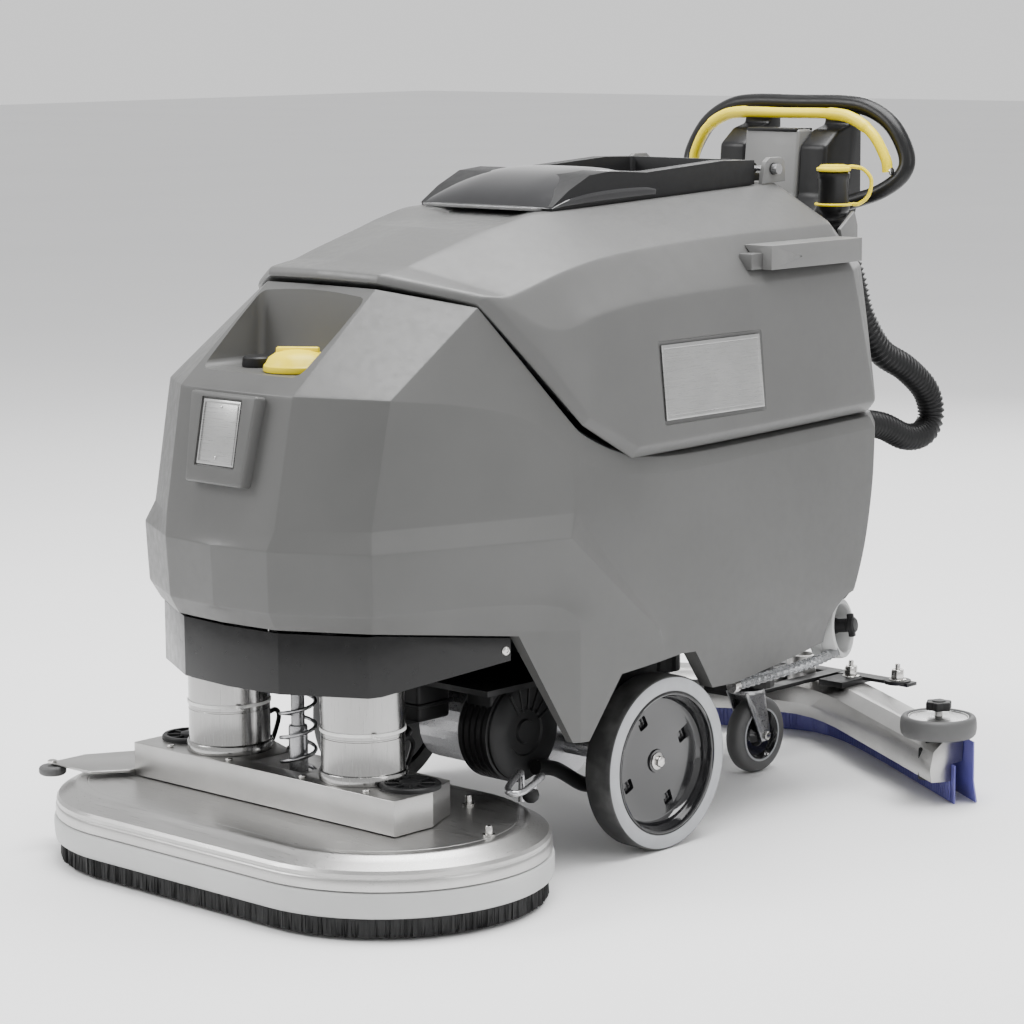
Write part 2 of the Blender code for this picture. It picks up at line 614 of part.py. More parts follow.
def build_casters(make):
    for side, name in SIDES:
        swivel = (side * CASTER_X, CASTER_Y - CASTER_TRAIL, 0)
        axle = (side * CASTER_X, CASTER_Y, CASTER_RADIUS)
        top = .1380
        fork = make.place("caster_fork_" + name, cylinder_mesh(.028, .006, 24, "z", (0, 0, top - .003)), "steel",
                          at=swivel)
        arm = [(-.026, top - .003), (.020, top - .003), (.034, .070), (.030, .052), (.014, .052), (.008, .066)]
        for edge in (1, -1):
            x0, x1 = sorted((edge * .0175, edge * .0205))
            make.boolean(fork, extruded_mesh(arm, x0, x1, "x"), "UNION")
        make.boolean(fork, cylinder_mesh(.0042, .048, 12, "x", (0, CASTER_TRAIL, CASTER_RADIUS)), "UNION")
        half = CASTER_WIDTH / 2
        r = CASTER_RADIUS
        wheel = [(.0048, half - .003), (.040, half - .006), (.047, half), (r - .008, half), (r, half - .007),
                 (r, -half + .007), (r - .008, -half), (.047, -half), (.040, -half + .006),
                 (.0048, -half + .003)]
        make.place("caster_wheel_" + name, turned_mesh(wheel, 24, "x"), "rubber", at=axle)


# ---------------------------------------------------------------- scrub deck
def deck_ring(radius, z):
    return stadium(DECK_HALF_STRAIGHT, radius, DECK_Y), z


def build_deck(make):
    """Stadium-shaped housing, its bumper band and bristle skirt, gear case, motors and brushes."""
    r = DECK_END_RADIUS
    plate = make.place("deck_housing", stacked_mesh([deck_ring(r - .004, .0665), deck_ring(r - .002, .069),
                       deck_ring(r - .003, .091), deck_ring(r - .030, .108), deck_ring(r - .036, .111)]), "cast")
    for side in (1, -1):
        make.boolean(plate, cylinder_mesh(.010, .2, 20, "z", (side * BRUSH_X, DECK_Y, .1)))
    band = make.place("bumper_band", stacked_mesh([deck_ring(r - .004, .031), deck_ring(r, .037),
                      deck_ring(r, .061), deck_ring(r - .004, .066)]), "band_grey")
    make.boolean(band, stacked_mesh([deck_ring(r - .014, .01), deck_ring(r - .014, .12)]))
    skirt = make.place("bristle_skirt", stacked_mesh([deck_ring(r - .0095, .005), deck_ring(r - .0095, .0305)]),
                       "bristle")
    make.boolean(skirt, stacked_mesh([deck_ring(r - .019, -.02), deck_ring(r - .019, .10)]))
    h = GEAR_CASE_HALF
    outline = [(-h, GEAR_CASE_FRONT), (h, GEAR_CASE_FRONT), (h, -.440), (h - .020, -.400), (.236, -.376),
               (.120, -.372), (.060, -.395), (-.060, -.395), (-.120, -.372), (-.236, -.376), (-h + .020, -.400),
               (-h, -.440)]
    case = make.place("gear_case", extruded_mesh(outline, .1114, GEAR_CASE_TOP), "cast")
    for side in (1, -1):
        make.boolean(case, cylinder_mesh(.010, .3, 20, "z", (side * BRUSH_X, DECK_Y, .1)))
    make.boolean(case, box_mesh((-.052, -.480, .118), (.052, -.38, .3)))
    motor = [(0, .192), (.045, .192), (.0578, .186), (.0578, .052), (.0590, .050), (.0610, .002), (.0610, 0),
             (0, 0)]
    for side, name in SIDES:
        at = (side * MOTOR_X, DECK_Y - .003, GEAR_CASE_TOP + GAP)
        make.place("brush_motor_" + name, turned_mesh(motor, 24), "steel", at=at)
        brush = [(0, .056), (.020, .056), (.060, .050), (BRUSH_RADIUS - .008, .046), (BRUSH_RADIUS, .005),
                 (.055, .005), (.055, .030), (0, .030)]
        disc = make.place("disc_brush_" + name, turned_mesh(brush, 24), "bristle", at=(side * BRUSH_X, DECK_Y, 0))
        make.boolean(disc, cylinder_mesh(.0085, .075, 16, "z", (0, 0, .0900)), "UNION")


def spring_path(turns, radius, low, high, per_turn=10):
    points = []
    for i in range(int(turns * per_turn) + 1):
        angle = 2 * math.pi * i / per_turn
        points.append((radius * math.cos(angle), radius * math.sin(angle),
                       low + (high - low) * i / (turns * per_turn)))
    return points


def build_deck_fittings(make):
    spring_at = (0, PLUNGER_Y, 0)
    make.place("pressure_spring", tube_mesh(spring_path(5, .0245, .1223, .3262), .0028, 1), "steel", at=spring_at)
    rod = turned_mesh([(0, .225), (PLUNGER_RADIUS, .225), (PLUNGER_RADIUS, .095), (.0135, .093), (.0135, 0),
                       (0, 0)], 20)
    make.place("pressure_plunger", rod, "steel", at=(0, PLUNGER_Y, .1185))
    wing = [(-.392, -.565), (-.300, -.565), (-.2668, -.520), (-.2668, -.430), (-.340, -.410), (-.392, -.500)]
    make.place("roller_plate", extruded_mesh(wing, .1160, .1200), "cast")
    roller = [(0, .013), (.017, .013), (.020, .010), (.020, .003), (.017, 0), (0, 0)]
    make.place("guide_roller", turned_mesh(roller, 24), "grey_rubber", at=(-.3870, -.5650, .1024))
    lever = [(.262, -.262, .1130), (.262, -.262, .1480), (.270, -.276, .1560), (.300, -.330, .1500),
             (.318, -.340, .1480), (.322, -.322, .1480),
             (.300, -.262, .1540), (.290, -.262, .1480), (.285, -.268, .1240)]
    rod = make.place("brush_release_lever", tube_mesh(smooth_path(lever, 2), .0048, 2), "steel")
    make.boolean(rod, turned_mesh([(0, .010), (.009, .006), (.012, 0), (.009, -.006), (0, -.010)], 16),
                 "UNION", at=(.285, -.268, .1270))
    make.centre_on(rod, (.262, -.262, .1130))
    for side, name in SIDES:
        arm = [(side * .205, -.172, .136), (side * .206, -.130, .126), (side * .206, -.075, .095),
               (side * .206, -.040, .090), (side * .206, -.020, .105)]
        make.place("lift_arm_" + name, tube_mesh(smooth_path(arm, 3), .011, 2), "black")


# ---------------------------------------------------------------- squeegee
def build_squeegee(make):
    bar_section = [(-.062, .040), (-.020, .034), (-.012, .034), (-.012, .060), (.016, .060), (.020, .100),
                   (-.030, .100), (-.058, .086), (-.066, .060)]
    bar = make.place("squeegee_bar", swept_along_squeegee(bar_section, SQUEEGEE_HALF - .030), "cast")
    make.place("front_blade", swept_along_squeegee([(-.0115, .0006), (-.0080, .0006), (-.0080, .0595),
               (-.0115, .0595)], SQUEEGEE_HALF - .020), "violet")
    make.place("rear_blade", swept_along_squeegee([(.030, .0006), (.034, .0006), (.0250, .036), (.0246, .096),
               (.0210, .096), (.0214, .034)], SQUEEGEE_HALF), "violet")
    for side, name in SIDES:
        bx, by = side * BUMPER_X, BUMPER_Y
        make.boolean(bar, cylinder_mesh(.010, .0600, 16, "z", (bx, by, .0700)), "UNION")
        make.boolean(bar, box_mesh((bx - .018, by - .022, .036), (bx + .018, by - .001, .078)), "UNION")
        make.boolean(bar, cylinder_mesh(.0060, .0450, 16, "z", (bx, by, .1190)), "UNION")
        r = BUMPER_RADIUS
        wheel = [(.0064, .013), (.010, .015), (.044, .013), (.050, .016), (r - .006, .016), (r, .009), (r, -.009),
                 (r - .006, -.016), (.0064, -.012)]
        make.place("bumper_wheel_" + name, turned_mesh(wheel, 24), "grey_rubber", at=(bx, by, .1175))
        star = []
        for i in range(24):
            angle = 2 * math.pi * i / 24
            radius = .019 + .0025 * math.cos(6 * angle)
            star.append((radius * math.cos(angle), radius * math.sin(angle)))
        make.place("star_knob_" + name, extruded_mesh(star, 0, .013), "black", at=(bx, by, .1419))
    socket = [(.024, .140), (.024, .098), (.019, .098), (.019, .140)]
    make.boolean(bar, turned_mesh(socket, 24), "UNION", at=(0, .696, 0))
    build_squeegee_carrier(make)
    return bar


def build_squeegee_carrier(make):
    """The arm that lifts the squeegee, on a carrier that swings it sideways."""
    px, py, pz = SQUEEGEE_PIVOT
    carrier = make.place("squeegee_carrier", cylinder_mesh(.020, .060, 20, "z", (0, .460, .2195)), "painted")
    make.boolean(carrier, box_mesh((-.034, .455, .190), (.034, py + .010, .200)), "UNION")
    for side in (1, -1):
        x0, x1 = sorted((side * .0305, side * .0365))
        make.boolean(carrier, box_mesh((x0, py - .012, pz - .012), (x1, py + .012, .200)), "UNION")
    make.boolean(carrier, cylinder_mesh(.0050, .0720, 16, "x", SQUEEGEE_PIVOT), "UNION")
    arm = make.place("squeegee_arm", box_mesh((-.0295, py - .010, .1055), (.0295, .548, .1115)), "painted")
    make.boolean(arm, box_mesh((-.0293, py - .0092, .1065), (.0293, py + .0092, pz)), "UNION")
    make.boolean(arm, cylinder_mesh(.011, .0586, 20, "x", SQUEEGEE_PIVOT), "UNION")
    make.boolean(arm, cylinder_mesh(.0054, .1, 20, "x", SQUEEGEE_PIVOT))
    make.boolean(arm, box_mesh((-.052, .536, .1055), (.052, .548, .1115)), "UNION")
    for side in (1, -1):
        x0, x1 = sorted((side * .028, side * .052))
        make.boolean(arm, box_mesh((x0, .536, .1055), (x1, .740, .1115)), "UNION")
    make.boolean(arm, box_mesh((-.195, .724, .1055), (.195, .750, .1110)), "UNION")
    for side in (1, -1):
        x = side * .083
        y = .722
        make.boolean(arm, box_mesh((x - .024, y - .055, .1004), (x + .024, y + .030, .1100)), "UNION")
        make.boolean(arm, cylinder_mesh(.009, .012, 6, "z", (x, y, .1150)), "UNION")
        x = side * .169
        make.boolean(arm, cylinder_mesh(.022, .0060, 20, "z", (x, .733, .1105)), "UNION")
        make.boolean(arm, cylinder_mesh(.009, .016, 6, "z", (x, .733, .1200)), "UNION")
    make.centre_on(arm, SQUEEGEE_PIVOT)


def build_level_line(make):
    """Grey drain collar with its tap, and the clear level tube that runs to it."""
    collar = turned_mesh([(.046, .042), (.046, 0), (.036, 0), (.036, .042)], 28)
    make.place("drain_collar", collar, "band_grey", at=COLLAR_FOOT, turn=COLLAR_TURN)


# ---------------------------------------------------------------- assembly
def main():
    clear_scene()
    make = Maker()
    build_lower_body(make)
    build_recovery_tank(make)
    build_apron(make)
    build_nose_fittings(make)
    build_side_fittings(make)
    build_lid(make)
    build_console(make)
    build_handle(make)
    build_drain(make)
    build_chassis(make)
    build_inside(make)
    build_drive(make)
    build_casters(make)
    build_deck(make)
    build_deck_fittings(make)
    build_squeegee(make)
    build_level_line(make)


main()
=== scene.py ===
"""Looks of a walk-behind floor scrubber: shells, deck, wheels, squeegee, lid, handle and small fittings.

Metres, +Z up, front towards -Y.  Shapes are modelled from the drive axle's station and moved into the
machine's own frame when they are settled, so a place reads the same here as on the design drawing.
"""

import logging
import math
import random
from contextlib import contextmanager
from dataclasses import dataclass
from enum import Enum
from typing import Callable, Iterator, Sequence

import bmesh
import bpy
from mathutils import Matrix, Vector


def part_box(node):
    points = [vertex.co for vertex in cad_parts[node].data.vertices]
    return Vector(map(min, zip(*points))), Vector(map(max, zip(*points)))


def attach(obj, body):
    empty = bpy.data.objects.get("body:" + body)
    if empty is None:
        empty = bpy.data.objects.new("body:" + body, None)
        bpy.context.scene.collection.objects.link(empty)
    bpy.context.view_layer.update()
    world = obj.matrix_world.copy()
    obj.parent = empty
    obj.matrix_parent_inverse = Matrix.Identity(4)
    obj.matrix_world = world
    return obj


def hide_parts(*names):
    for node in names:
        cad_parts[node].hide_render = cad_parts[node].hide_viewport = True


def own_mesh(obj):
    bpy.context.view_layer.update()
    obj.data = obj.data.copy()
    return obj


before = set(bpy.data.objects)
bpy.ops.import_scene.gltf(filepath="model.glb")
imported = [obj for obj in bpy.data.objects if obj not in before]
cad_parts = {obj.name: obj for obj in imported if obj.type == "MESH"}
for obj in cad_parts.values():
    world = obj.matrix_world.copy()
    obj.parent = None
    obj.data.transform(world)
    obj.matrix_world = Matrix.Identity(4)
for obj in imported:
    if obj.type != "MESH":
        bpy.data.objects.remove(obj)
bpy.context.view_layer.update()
AXLE_Y = sum(corner[1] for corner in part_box("drive_axle")) / 2
LOG = logging.getLogger("scrubber")
SIDES = ((1, "left"), (-1, "right"))
POLE_RADIUS = .0004  # a turned piece closes on a circle this small at its pole

Piece = bpy.types.Object
Socket = bpy.types.NodeSocket
Point = tuple[float, float, float]
Pair = tuple[float, float]
Colour = tuple[float, float, float]


class Axis(Enum):
    """The machine axis that a turned or extruded shape follows."""

    X = "x"
    Y = "y"
    Z = "z"


# ---------------------------------------------------------------- materials
class NodeSheet:
    """Node sheet of one material, with the few node groups that every finish is made of."""

    def __init__(self, name: str) -> None:
        """Start a material that holds only its shader.

        Args:
            name: Material name.
        """
        self.material = bpy.data.materials.new(name)
        self.material.use_nodes = True
        self.tree = self.material.node_tree
        self.shader = self.tree.nodes["Principled BSDF"]
        self.coords = self.tree.nodes.new("ShaderNodeTexCoord").outputs["Object"]

    def wire(self, source: Socket, socket: str) -> None:
        """Feed one of the shader's sockets from a node's output."""
        self.tree.links.new(source, self.shader.inputs[socket])

    def stretched(self, scale: Point) -> Socket:
        """Object coordinates stretched along the axes.

        Args:
            scale: Factor on each axis; a small one draws the pattern out along that axis.

        Returns:
            The stretched coordinates.
        """
        node = self.tree.nodes.new("ShaderNodeMapping")
        node.inputs["Scale"].default_value = scale
        self.tree.links.new(self.coords, node.inputs["Vector"])
        return node.outputs["Vector"]

    def noise(self, scale: float, detail: float = 3.0,
              vector: Socket | None = None) -> Socket:
        """Fractal noise over the piece.

        Args:
            scale: Cells per metre.
            detail: Octaves of finer noise.
            vector: Coordinates to read, the plain ones if left out.

        Returns:
            The noise value, from 0 to 1.
        """
        node = self.tree.nodes.new("ShaderNodeTexNoise")
        node.inputs["Scale"].default_value = scale
        node.inputs["Detail"].default_value = detail
        self.tree.links.new(vector or self.coords, node.inputs["Vector"])
        return node.outputs["Fac"]

    def spread(self, value: Socket, low: float, high: float,
               start: float = .3, end: float = .7) -> Socket:
        """Map a noise value to a range.

        Args:
            value: Value to map.
            low: Result at start.
            high: Result at end.
            start: Value that gives low.
            end: Value that gives high.

        Returns:
            The mapped value.
        """
        node = self.tree.nodes.new("ShaderNodeMapRange")
        self.tree.links.new(value, node.inputs["Value"])
        for name, amount in (("From Min", start), ("From Max", end), ("To Min", low), ("To Max", high)):
            node.inputs[name].default_value = amount
        return node.outputs["Result"]

    def blend(self, value: Socket, first: Colour, second: Colour,
              start: float = .35, end: float = .65) -> Socket:
        """Blend two colours by a value.

        Args:
            value: What steers the blend.
            first: Colour at start.
            second: Colour at end.
            start: Value that gives the first colour.
            end: Value that gives the second colour.

        Returns:
            The blended colour.
        """
        node = self.tree.nodes.new("ShaderNodeValToRGB")
        ends = node.color_ramp.elements
        ends[0].position, ends[1].position = start, end
        ends[0].color, ends[1].color = (*first, 1), (*second, 1)
        self.tree.links.new(value, node.inputs["Fac"])
        return node.outputs["Color"]

    def bump(self, height: Socket, depth: float, strength: float = 1.0,
             under: Socket | None = None) -> Socket:
        """Raise the surface by a height value.

        Args:
            height: Height, from 0 to 1.
            depth: Depth of the relief in metres.
            strength: Share of the effect.
            under: Normal of a coarser relief below this one.

        Returns:
            The bent normal.
        """
        node = self.tree.nodes.new("ShaderNodeBump")
        node.inputs["Distance"].default_value = depth
        node.inputs["Strength"].default_value = strength
        self.tree.links.new(height, node.inputs["Height"])
        if under is not None:
            self.tree.links.new(under, node.inputs["Normal"])
        return node.outputs["Normal"]


def darker(colour: Colour, factor: float) -> Colour:
    """Scale a colour's brightness."""
    return tuple(min(1.0, c * factor) for c in colour)


@dataclass(frozen=True)
class Finish:
    """A surface finish; each kind builds its own nodes.

    Attributes:
        name: Material name.
        colour: Mean colour, linear.
        roughness: Mean roughness.
    """

    name: str
    colour: Colour
    roughness: float

    def paint(self, sheet: NodeSheet) -> None:
        """Add this finish's own nodes to its sheet."""
        raise NotImplementedError

    def material(self) -> bpy.types.Material:
        """The finish's material, made at its first use.

        Returns:
            The material.
        """
        found = bpy.data.materials.get("finish_" + self.name)
        if found is None:
            sheet = NodeSheet("finish_" + self.name)
            sheet.shader.inputs["Base Color"].default_value = (*self.colour, 1)
            sheet.shader.inputs["Roughness"].default_value = self.roughness
            self.paint(sheet)
            sheet.material.diffuse_color = (*self.colour, 1)
            found = sheet.material
        return found


@dataclass(frozen=True)
class MouldedPlastic(Finish):
    """Moulded plastic with a leather-fine grain, faint flow marks and scuffs.

    Attributes:
        grain: Grain cells per metre.
        relief: Depth of the grain in metres.
        sheen: Specular level of the skin.
    """

    grain: float = 900.0
    relief: float = .00012
    sheen: float = .5

    def paint(self, sheet: NodeSheet) -> None:
        """Add flow marks, uneven gloss and grain."""
        flow = sheet.noise(5.0, 4.0)
        sheet.wire(sheet.blend(flow, darker(self.colour, .93), darker(self.colour, 1.07)), "Base Color")
        scuff = sheet.noise(70.0, 5.0)
        sheet.wire(sheet.spread(scuff, self.roughness - .05, self.roughness + .06), "Roughness")
        coarse = sheet.bump(sheet.noise(self.grain / 4, 2.0), self.relief, .35)
        sheet.wire(sheet.bump(sheet.noise(self.grain, 2.0), self.relief, .5, coarse), "Normal")
        sheet.shader.inputs["Specular IOR Level"].default_value = self.sheen


@dataclass(frozen=True)
class Metal(Finish):
    """Bare metal: brushed along one axis, or cast when the strokes are not drawn out.

    Attributes:
        strokes: Stretch of the strokes on each axis.
        density: Strokes or grains per metre.
        relief: Depth of the strokes in metres.
        tarnish: Brightness of the dull patches against the clean metal.
    """

    strokes: Point = (1.0, 1.0, 1.0)
    density: float = 300.0
    relief: float = .00001
    tarnish: float = .82

    def paint(self, sheet: NodeSheet) -> None:
        """Add dull patches, strokes and their relief."""
        sheet.shader.inputs["Metallic"].default_value = 1.0
        patches = sheet.noise(14.0, 5.0)
        sheet.wire(sheet.blend(patches, darker(self.colour, self.tarnish), self.colour), "Base Color")
        lines = sheet.noise(self.density, 4.0, sheet.stretched(self.strokes))
        sheet.wire(sheet.spread(lines, self.roughness - .07, self.roughness + .09), "Roughness")
        sheet.wire(sheet.bump(lines, self.relief, .6), "Normal")


@dataclass(frozen=True)
class Rubber(Finish):
    """Moulded rubber with dust in its pores.

    Attributes:
        dust: Colour of the dusty patches.
        relief: Depth of the pores in metres.
    """

    dust: Colour = (.09, .09, .088)
    relief: float = .0001

    def paint(self, sheet: NodeSheet) -> None:
        """Add dust, pores and dull patches."""
        patches = sheet.noise(26.0, 6.0)
        sheet.wire(sheet.blend(patches, self.colour, self.dust, .42, .85), "Base Color")
        sheet.wire(sheet.spread(patches, self.roughness - .06, self.roughness + .08), "Roughness")
        sheet.wire(sheet.bump(sheet.noise(1300.0, 2.0), self.relief, .5), "Normal")


@dataclass(frozen=True)
class GlossPlastic(Finish):
    """Polished plastic with a clear skin and hair-fine swirls.

    Attributes:
        skin: Weight of the clear skin.
    """

    skin: float = .4

    def paint(self, sheet: NodeSheet) -> None:
        """Add swirls and the clear skin."""
        swirl = sheet.noise(38.0, 6.0)
        sheet.wire(sheet.blend(swirl, self.colour, darker(self.colour, 1.18)), "Base Color")
        sheet.wire(sheet.spread(swirl, max(.02, self.roughness - .05), self.roughness + .07), "Roughness")
        sheet.wire(sheet.bump(sheet.noise(420.0, 2.0), .00003, .4), "Normal")
        sheet.shader.inputs["Coat Weight"].default_value = self.skin
        sheet.shader.inputs["Coat Roughness"].default_value = .08


@dataclass(frozen=True)
class ClearPlastic(Finish):
    """Clear or smoked plastic, slightly clouded.

    Attributes:
        clarity: Share of light let through.
    """

    clarity: float = .85

    def paint(self, sheet: NodeSheet) -> None:
        """Add clouding to a transmitting shader."""
        sheet.shader.inputs["Transmission Weight"].default_value = self.clarity
        sheet.shader.inputs["IOR"].default_value = 1.45
        cloud = sheet.noise(60.0, 4.0)
        sheet.wire(sheet.blend(cloud, self.colour, darker(self.colour, 1.1)), "Base Color")
        sheet.wire(sheet.spread(cloud, self.roughness - .04, self.roughness + .08), "Roughness")


@dataclass(frozen=True)
class Bristle(Finish):
    """Nylon filament, a little different from strand to strand."""

    def paint(self, sheet: NodeSheet) -> None:
        """Add strand-to-strand shade."""
        strand = sheet.noise(420.0, 1.0, sheet.stretched((1, 1, .02)))
        sheet.wire(sheet.blend(strand, self.colour, darker(self.colour, 3.2), .4, .8), "Base Color")
        sheet.wire(sheet.spread(strand, self.roughness - .1, self.roughness + .1), "Roughness")
        sheet.wire(sheet.bump(strand, .0004, .6), "Normal")


BODY_GREY = MouldedPlastic("body_grey", (.078, .078, .076), .40)
TANK_GREY = MouldedPlastic("tank_grey", (.095, .095, .093), .40)
PANEL_GREY = MouldedPlastic("panel_grey", (.15, .15, .147), .42)
BAND_GREY = MouldedPlastic("band_grey", (.46, .465, .46), .5, relief=.00006)
BLACK = MouldedPlastic("black", (.006, .006, .0063), .34, relief=.00006, sheen=.30)
APRON_BLACK = MouldedPlastic("apron_black", (.004, .004, .0042), .22, 900.0, .00001, .30)
PIANO_BLACK = GlossPlastic("piano_black", (.008, .008, .009), .10, .6)
SOFT_BLACK = MouldedPlastic("soft_black", (.009, .009, .0095), .45, sheen=.28)
YELLOW = MouldedPlastic("yellow", (.84, .66, .0), .38, relief=.00004)
RED = GlossPlastic("red", (.55, .012, .01), .25)
TYRE = Rubber("tyre", (.022, .022, .022), .6)
TREAD_RING = Rubber("tread_ring", (.36, .37, .385), .5, (.30, .30, .31))
WHEEL_GREY = Rubber("wheel_grey", (.075, .075, .075), .55, (.10, .10, .10))
BLADE = Rubber("blade", (.105, .10, .34), .42, (.16, .155, .42))
BRUSHED = Metal("brushed", (.46, .46, .455), .30, (.02, .02, 1), 1400.0, .00002, .9)
MOTOR_STEEL = Metal("motor_steel", (.36, .357, .35), .20, (1, 1, .03), 700.0, .000006, .93)
DECK_METAL = Metal("deck_metal", (.50, .495, .485), .33, (.015, 1, 1), 900.0, .000008, .93)
CAST = Metal("cast", (.46, .455, .445), .33, (1, 1, 1), 900.0, .00004, .9)
ZINC = Metal("zinc", (.42, .42, .43), .30, (1, 1, 1), 600.0, .000001, .95)
BOLT = Metal("bolt", (.60, .59, .57), .2, (1, 1, 1), 500.0, .000008, .9)
PAINTED = MouldedPlastic("painted", (.010, .010, .0105), .40, relief=.00005, sheen=.3)
NYLON = MouldedPlastic("nylon", (.82, .82, .80), .5, relief=.00003)
CLEAR = ClearPlastic("clear", (.93, .93, .93), .12)
SMOKED = ClearPlastic("smoked", (.45, .46, .47), .18, .75)
BRISTLE = Bristle("bristle", (.003, .003, .0032), .7)


# ---------------------------------------------------------------- workbench
@contextmanager
def editing(obj: Piece) -> Iterator[bpy.types.Mesh]:
    """Edit mode on one object, with nothing else selected.

    Args:
        obj: Object to edit.

    Yields:
        The object's mesh.
    """
    pick(obj)
    bpy.ops.object.mode_set(mode="EDIT")
    try:
        yield obj.data
    finally:
        bpy.ops.object.mode_set(mode="OBJECT")


def pick(*objs: Piece) -> None:
    """Select only these objects and make the first one active."""
    for other in bpy.context.selected_objects:
        other.select_set(False)
    for obj in objs:
        obj.select_set(True)
    bpy.context.view_layer.objects.active = objs[0]


def apply_modifier(obj: Piece, kind: str, **settings: object) -> None:
    """Add a modifier and apply it.

    Args:
        obj: Object to change.
        kind: Blender's name of the modifier type.
        settings: Values of the modifier's own settings.
    """
    pick(obj)
    step = obj.modifiers.new("step", kind)
    for name, value in settings.items():
        setattr(step, name, value)
    bpy.ops.object.modifier_apply(modifier=step.name)


def soften(obj: Piece, width: float, segments: int = 2, angle: float = 30.0) -> Piece:
    """Round every edge that turns by more than an angle.

    Args:
        obj: Object to change.
        width: Width of the rounding in metres.
        segments: Faces across the rounding.
        angle: Smallest turn in degrees that is rounded.

    Returns:
        The same object.
    """
    apply_modifier(obj, "BEVEL", width=width, segments=segments, limit_method="ANGLE",
        angle_limit=math.radians(angle), harden_normals=False, miter_outer="MITER_ARC")
    return obj


def rounded(obj: Piece, levels: int) -> Piece:
    """Subdivide an object smoothly.

    Args:
        obj: Object to change.
        levels: Number of subdivisions.

    Returns:
        The same object.
    """
    apply_modifier(obj, "SUBSURF", levels=levels, render_levels=levels)
    return obj


def combine(obj: Piece, tool: Piece, operation: str = "DIFFERENCE") -> Piece:
    """Cut or join an object with another one, which is used up.

    Args:
        obj: Object to change.
        tool: Object that cuts or joins.
        operation: DIFFERENCE, UNION or INTERSECT.

    Returns:
        The changed object.
    """
    apply_modifier(obj, "BOOLEAN", operation=operation, object=tool, solver="EXACT")
    bpy.data.objects.remove(tool, do_unlink=True)
    return obj


def gather(name: str, objs: Sequence[Piece]) -> Piece:
    """Put several solids into one piece.

    Args:
        name: Name of the piece.
        objs: Solids to join.

    Returns:
        The piece.
    """
    pick(*objs)
    if len(objs) > 1:
        bpy.ops.object.join()
    objs[0].name = name
    return objs[0]


def moved(obj: Piece, matrix: Matrix) -> Piece:
    """Move an object's mesh, leaving the object itself at the origin."""
    obj.data.transform(matrix)
    obj.data.update()
    return obj


def shifted(obj: Piece, x: float, y: float, z: float) -> Piece:
    """Slide an object's mesh."""
    return moved(obj, Matrix.Translation((x, y, z)))


def turned_by(obj: Piece, degrees: float, axis: Axis,
              centre: Point = (0, 0, 0)) -> Piece:
    """Turn an object's mesh about a point.

    Args:
        obj: Object to change.
        degrees: Angle, by the right-hand rule.
        axis: Axis of the turn.
        centre: Point that stays where it is.

    Returns:
        The same object.
    """
    there = Matrix.Translation(centre)
    turn = Matrix.Rotation(math.radians(degrees), 4, axis.value.upper())
    return moved(obj, there @ turn @ there.inverted())


def duplicate(obj: Piece, name: str, matrix: Matrix | None = None) -> Piece:
    """Copy an object with a mesh of its own.

    Args:
        obj: Object to copy.
        name: Name of the copy.
        matrix: Where the copy's mesh goes.

    Returns:
        The copy.
    """
    made = bpy.data.objects.new(name, obj.data.copy())
    bpy.context.scene.collection.objects.link(made)
    if matrix is not None:
        made.data.transform(matrix)
        if matrix.determinant() < 0:
            made.data.flip_normals()
    return made


def mirrored(obj: Piece, name: str) -> Piece:
    """Copy an object to the other side of the machine's middle plane."""
    return duplicate(obj, name, Matrix.Scale(-1, 4, (1, 0, 0)))


def faced(obj: Piece, side: int) -> Piece:
    """Turn a fitting that faces left round to the right, where its side is the right one."""
    return turned_by(obj, 180, Axis.Z) if side < 0 else obj


def key_of(point: Vector) -> tuple[int, int, int]:
    """Grid cell of a point, fine enough to tell vertices apart."""
    return tuple(round(value * 1e6) for value in point)


def loft(name: str, rings: Sequence[Sequence[Point]], closed: bool = False) -> Piece:
    """Skin through rings of points, drawn out ring by ring from a circle.

    Args:
        name: Name of the object.
        rings: Rings with the same number of points.
        closed: Whether the last ring meets the first, as on a hoop, instead of both being capped.

    Returns:
        The lofted solid.
    """
    bpy.ops.mesh.primitive_circle_add(vertices=len(rings[0]), fill_type="NOTHING" if closed else "NGON")
    obj = bpy.context.active_object
    obj.name = name
    for vertex, point in zip(obj.data.vertices, rings[0]):
        vertex.co = point
    with editing(obj) as mesh:
        bpy.ops.mesh.select_all(action="SELECT")
        for before, after in zip(rings, rings[1:]):
            bpy.ops.mesh.extrude_region_move()
            places = {key_of(Vector(point)): target for point, target in zip(before, after)}
            edited = bmesh.from_edit_mesh(mesh)
            for vertex in edited.verts:
                if vertex.select:
                    vertex.co = places[key_of(vertex.co)]
            bmesh.update_edit_mesh(mesh)
        bpy.ops.mesh.select_all(action="SELECT")
        if closed:
            bpy.ops.mesh.remove_doubles(threshold=1e-6)
        bpy.ops.mesh.normals_make_consistent(inside=False)
    return obj


def prism(name: str, outline: Sequence[Pair], low: float, high: float,
          axis: Axis = Axis.Z) -> Piece:
    """Solid of one outline.

    Args:
        name: Name of the object.
        outline: Corner points; (x, y) along Z, (y, z) along X, (x, z) along Y.
        low: Where the solid starts on its axis.
        high: Where it ends.
        axis: Axis of the solid.

    Returns:
        The solid.
    """
    def corner(pair: Pair, level: float) -> Point:
        """Corner of the outline at one end of the solid."""
        if axis is Axis.X:
            return (level, pair[0], pair[1])
        if axis is Axis.Y:
            return (pair[0], level, pair[1])
        return (pair[0], pair[1], level)

    return loft(name, [[corner(pair, low) for pair in outline], [corner(pair, high) for pair in outline]])


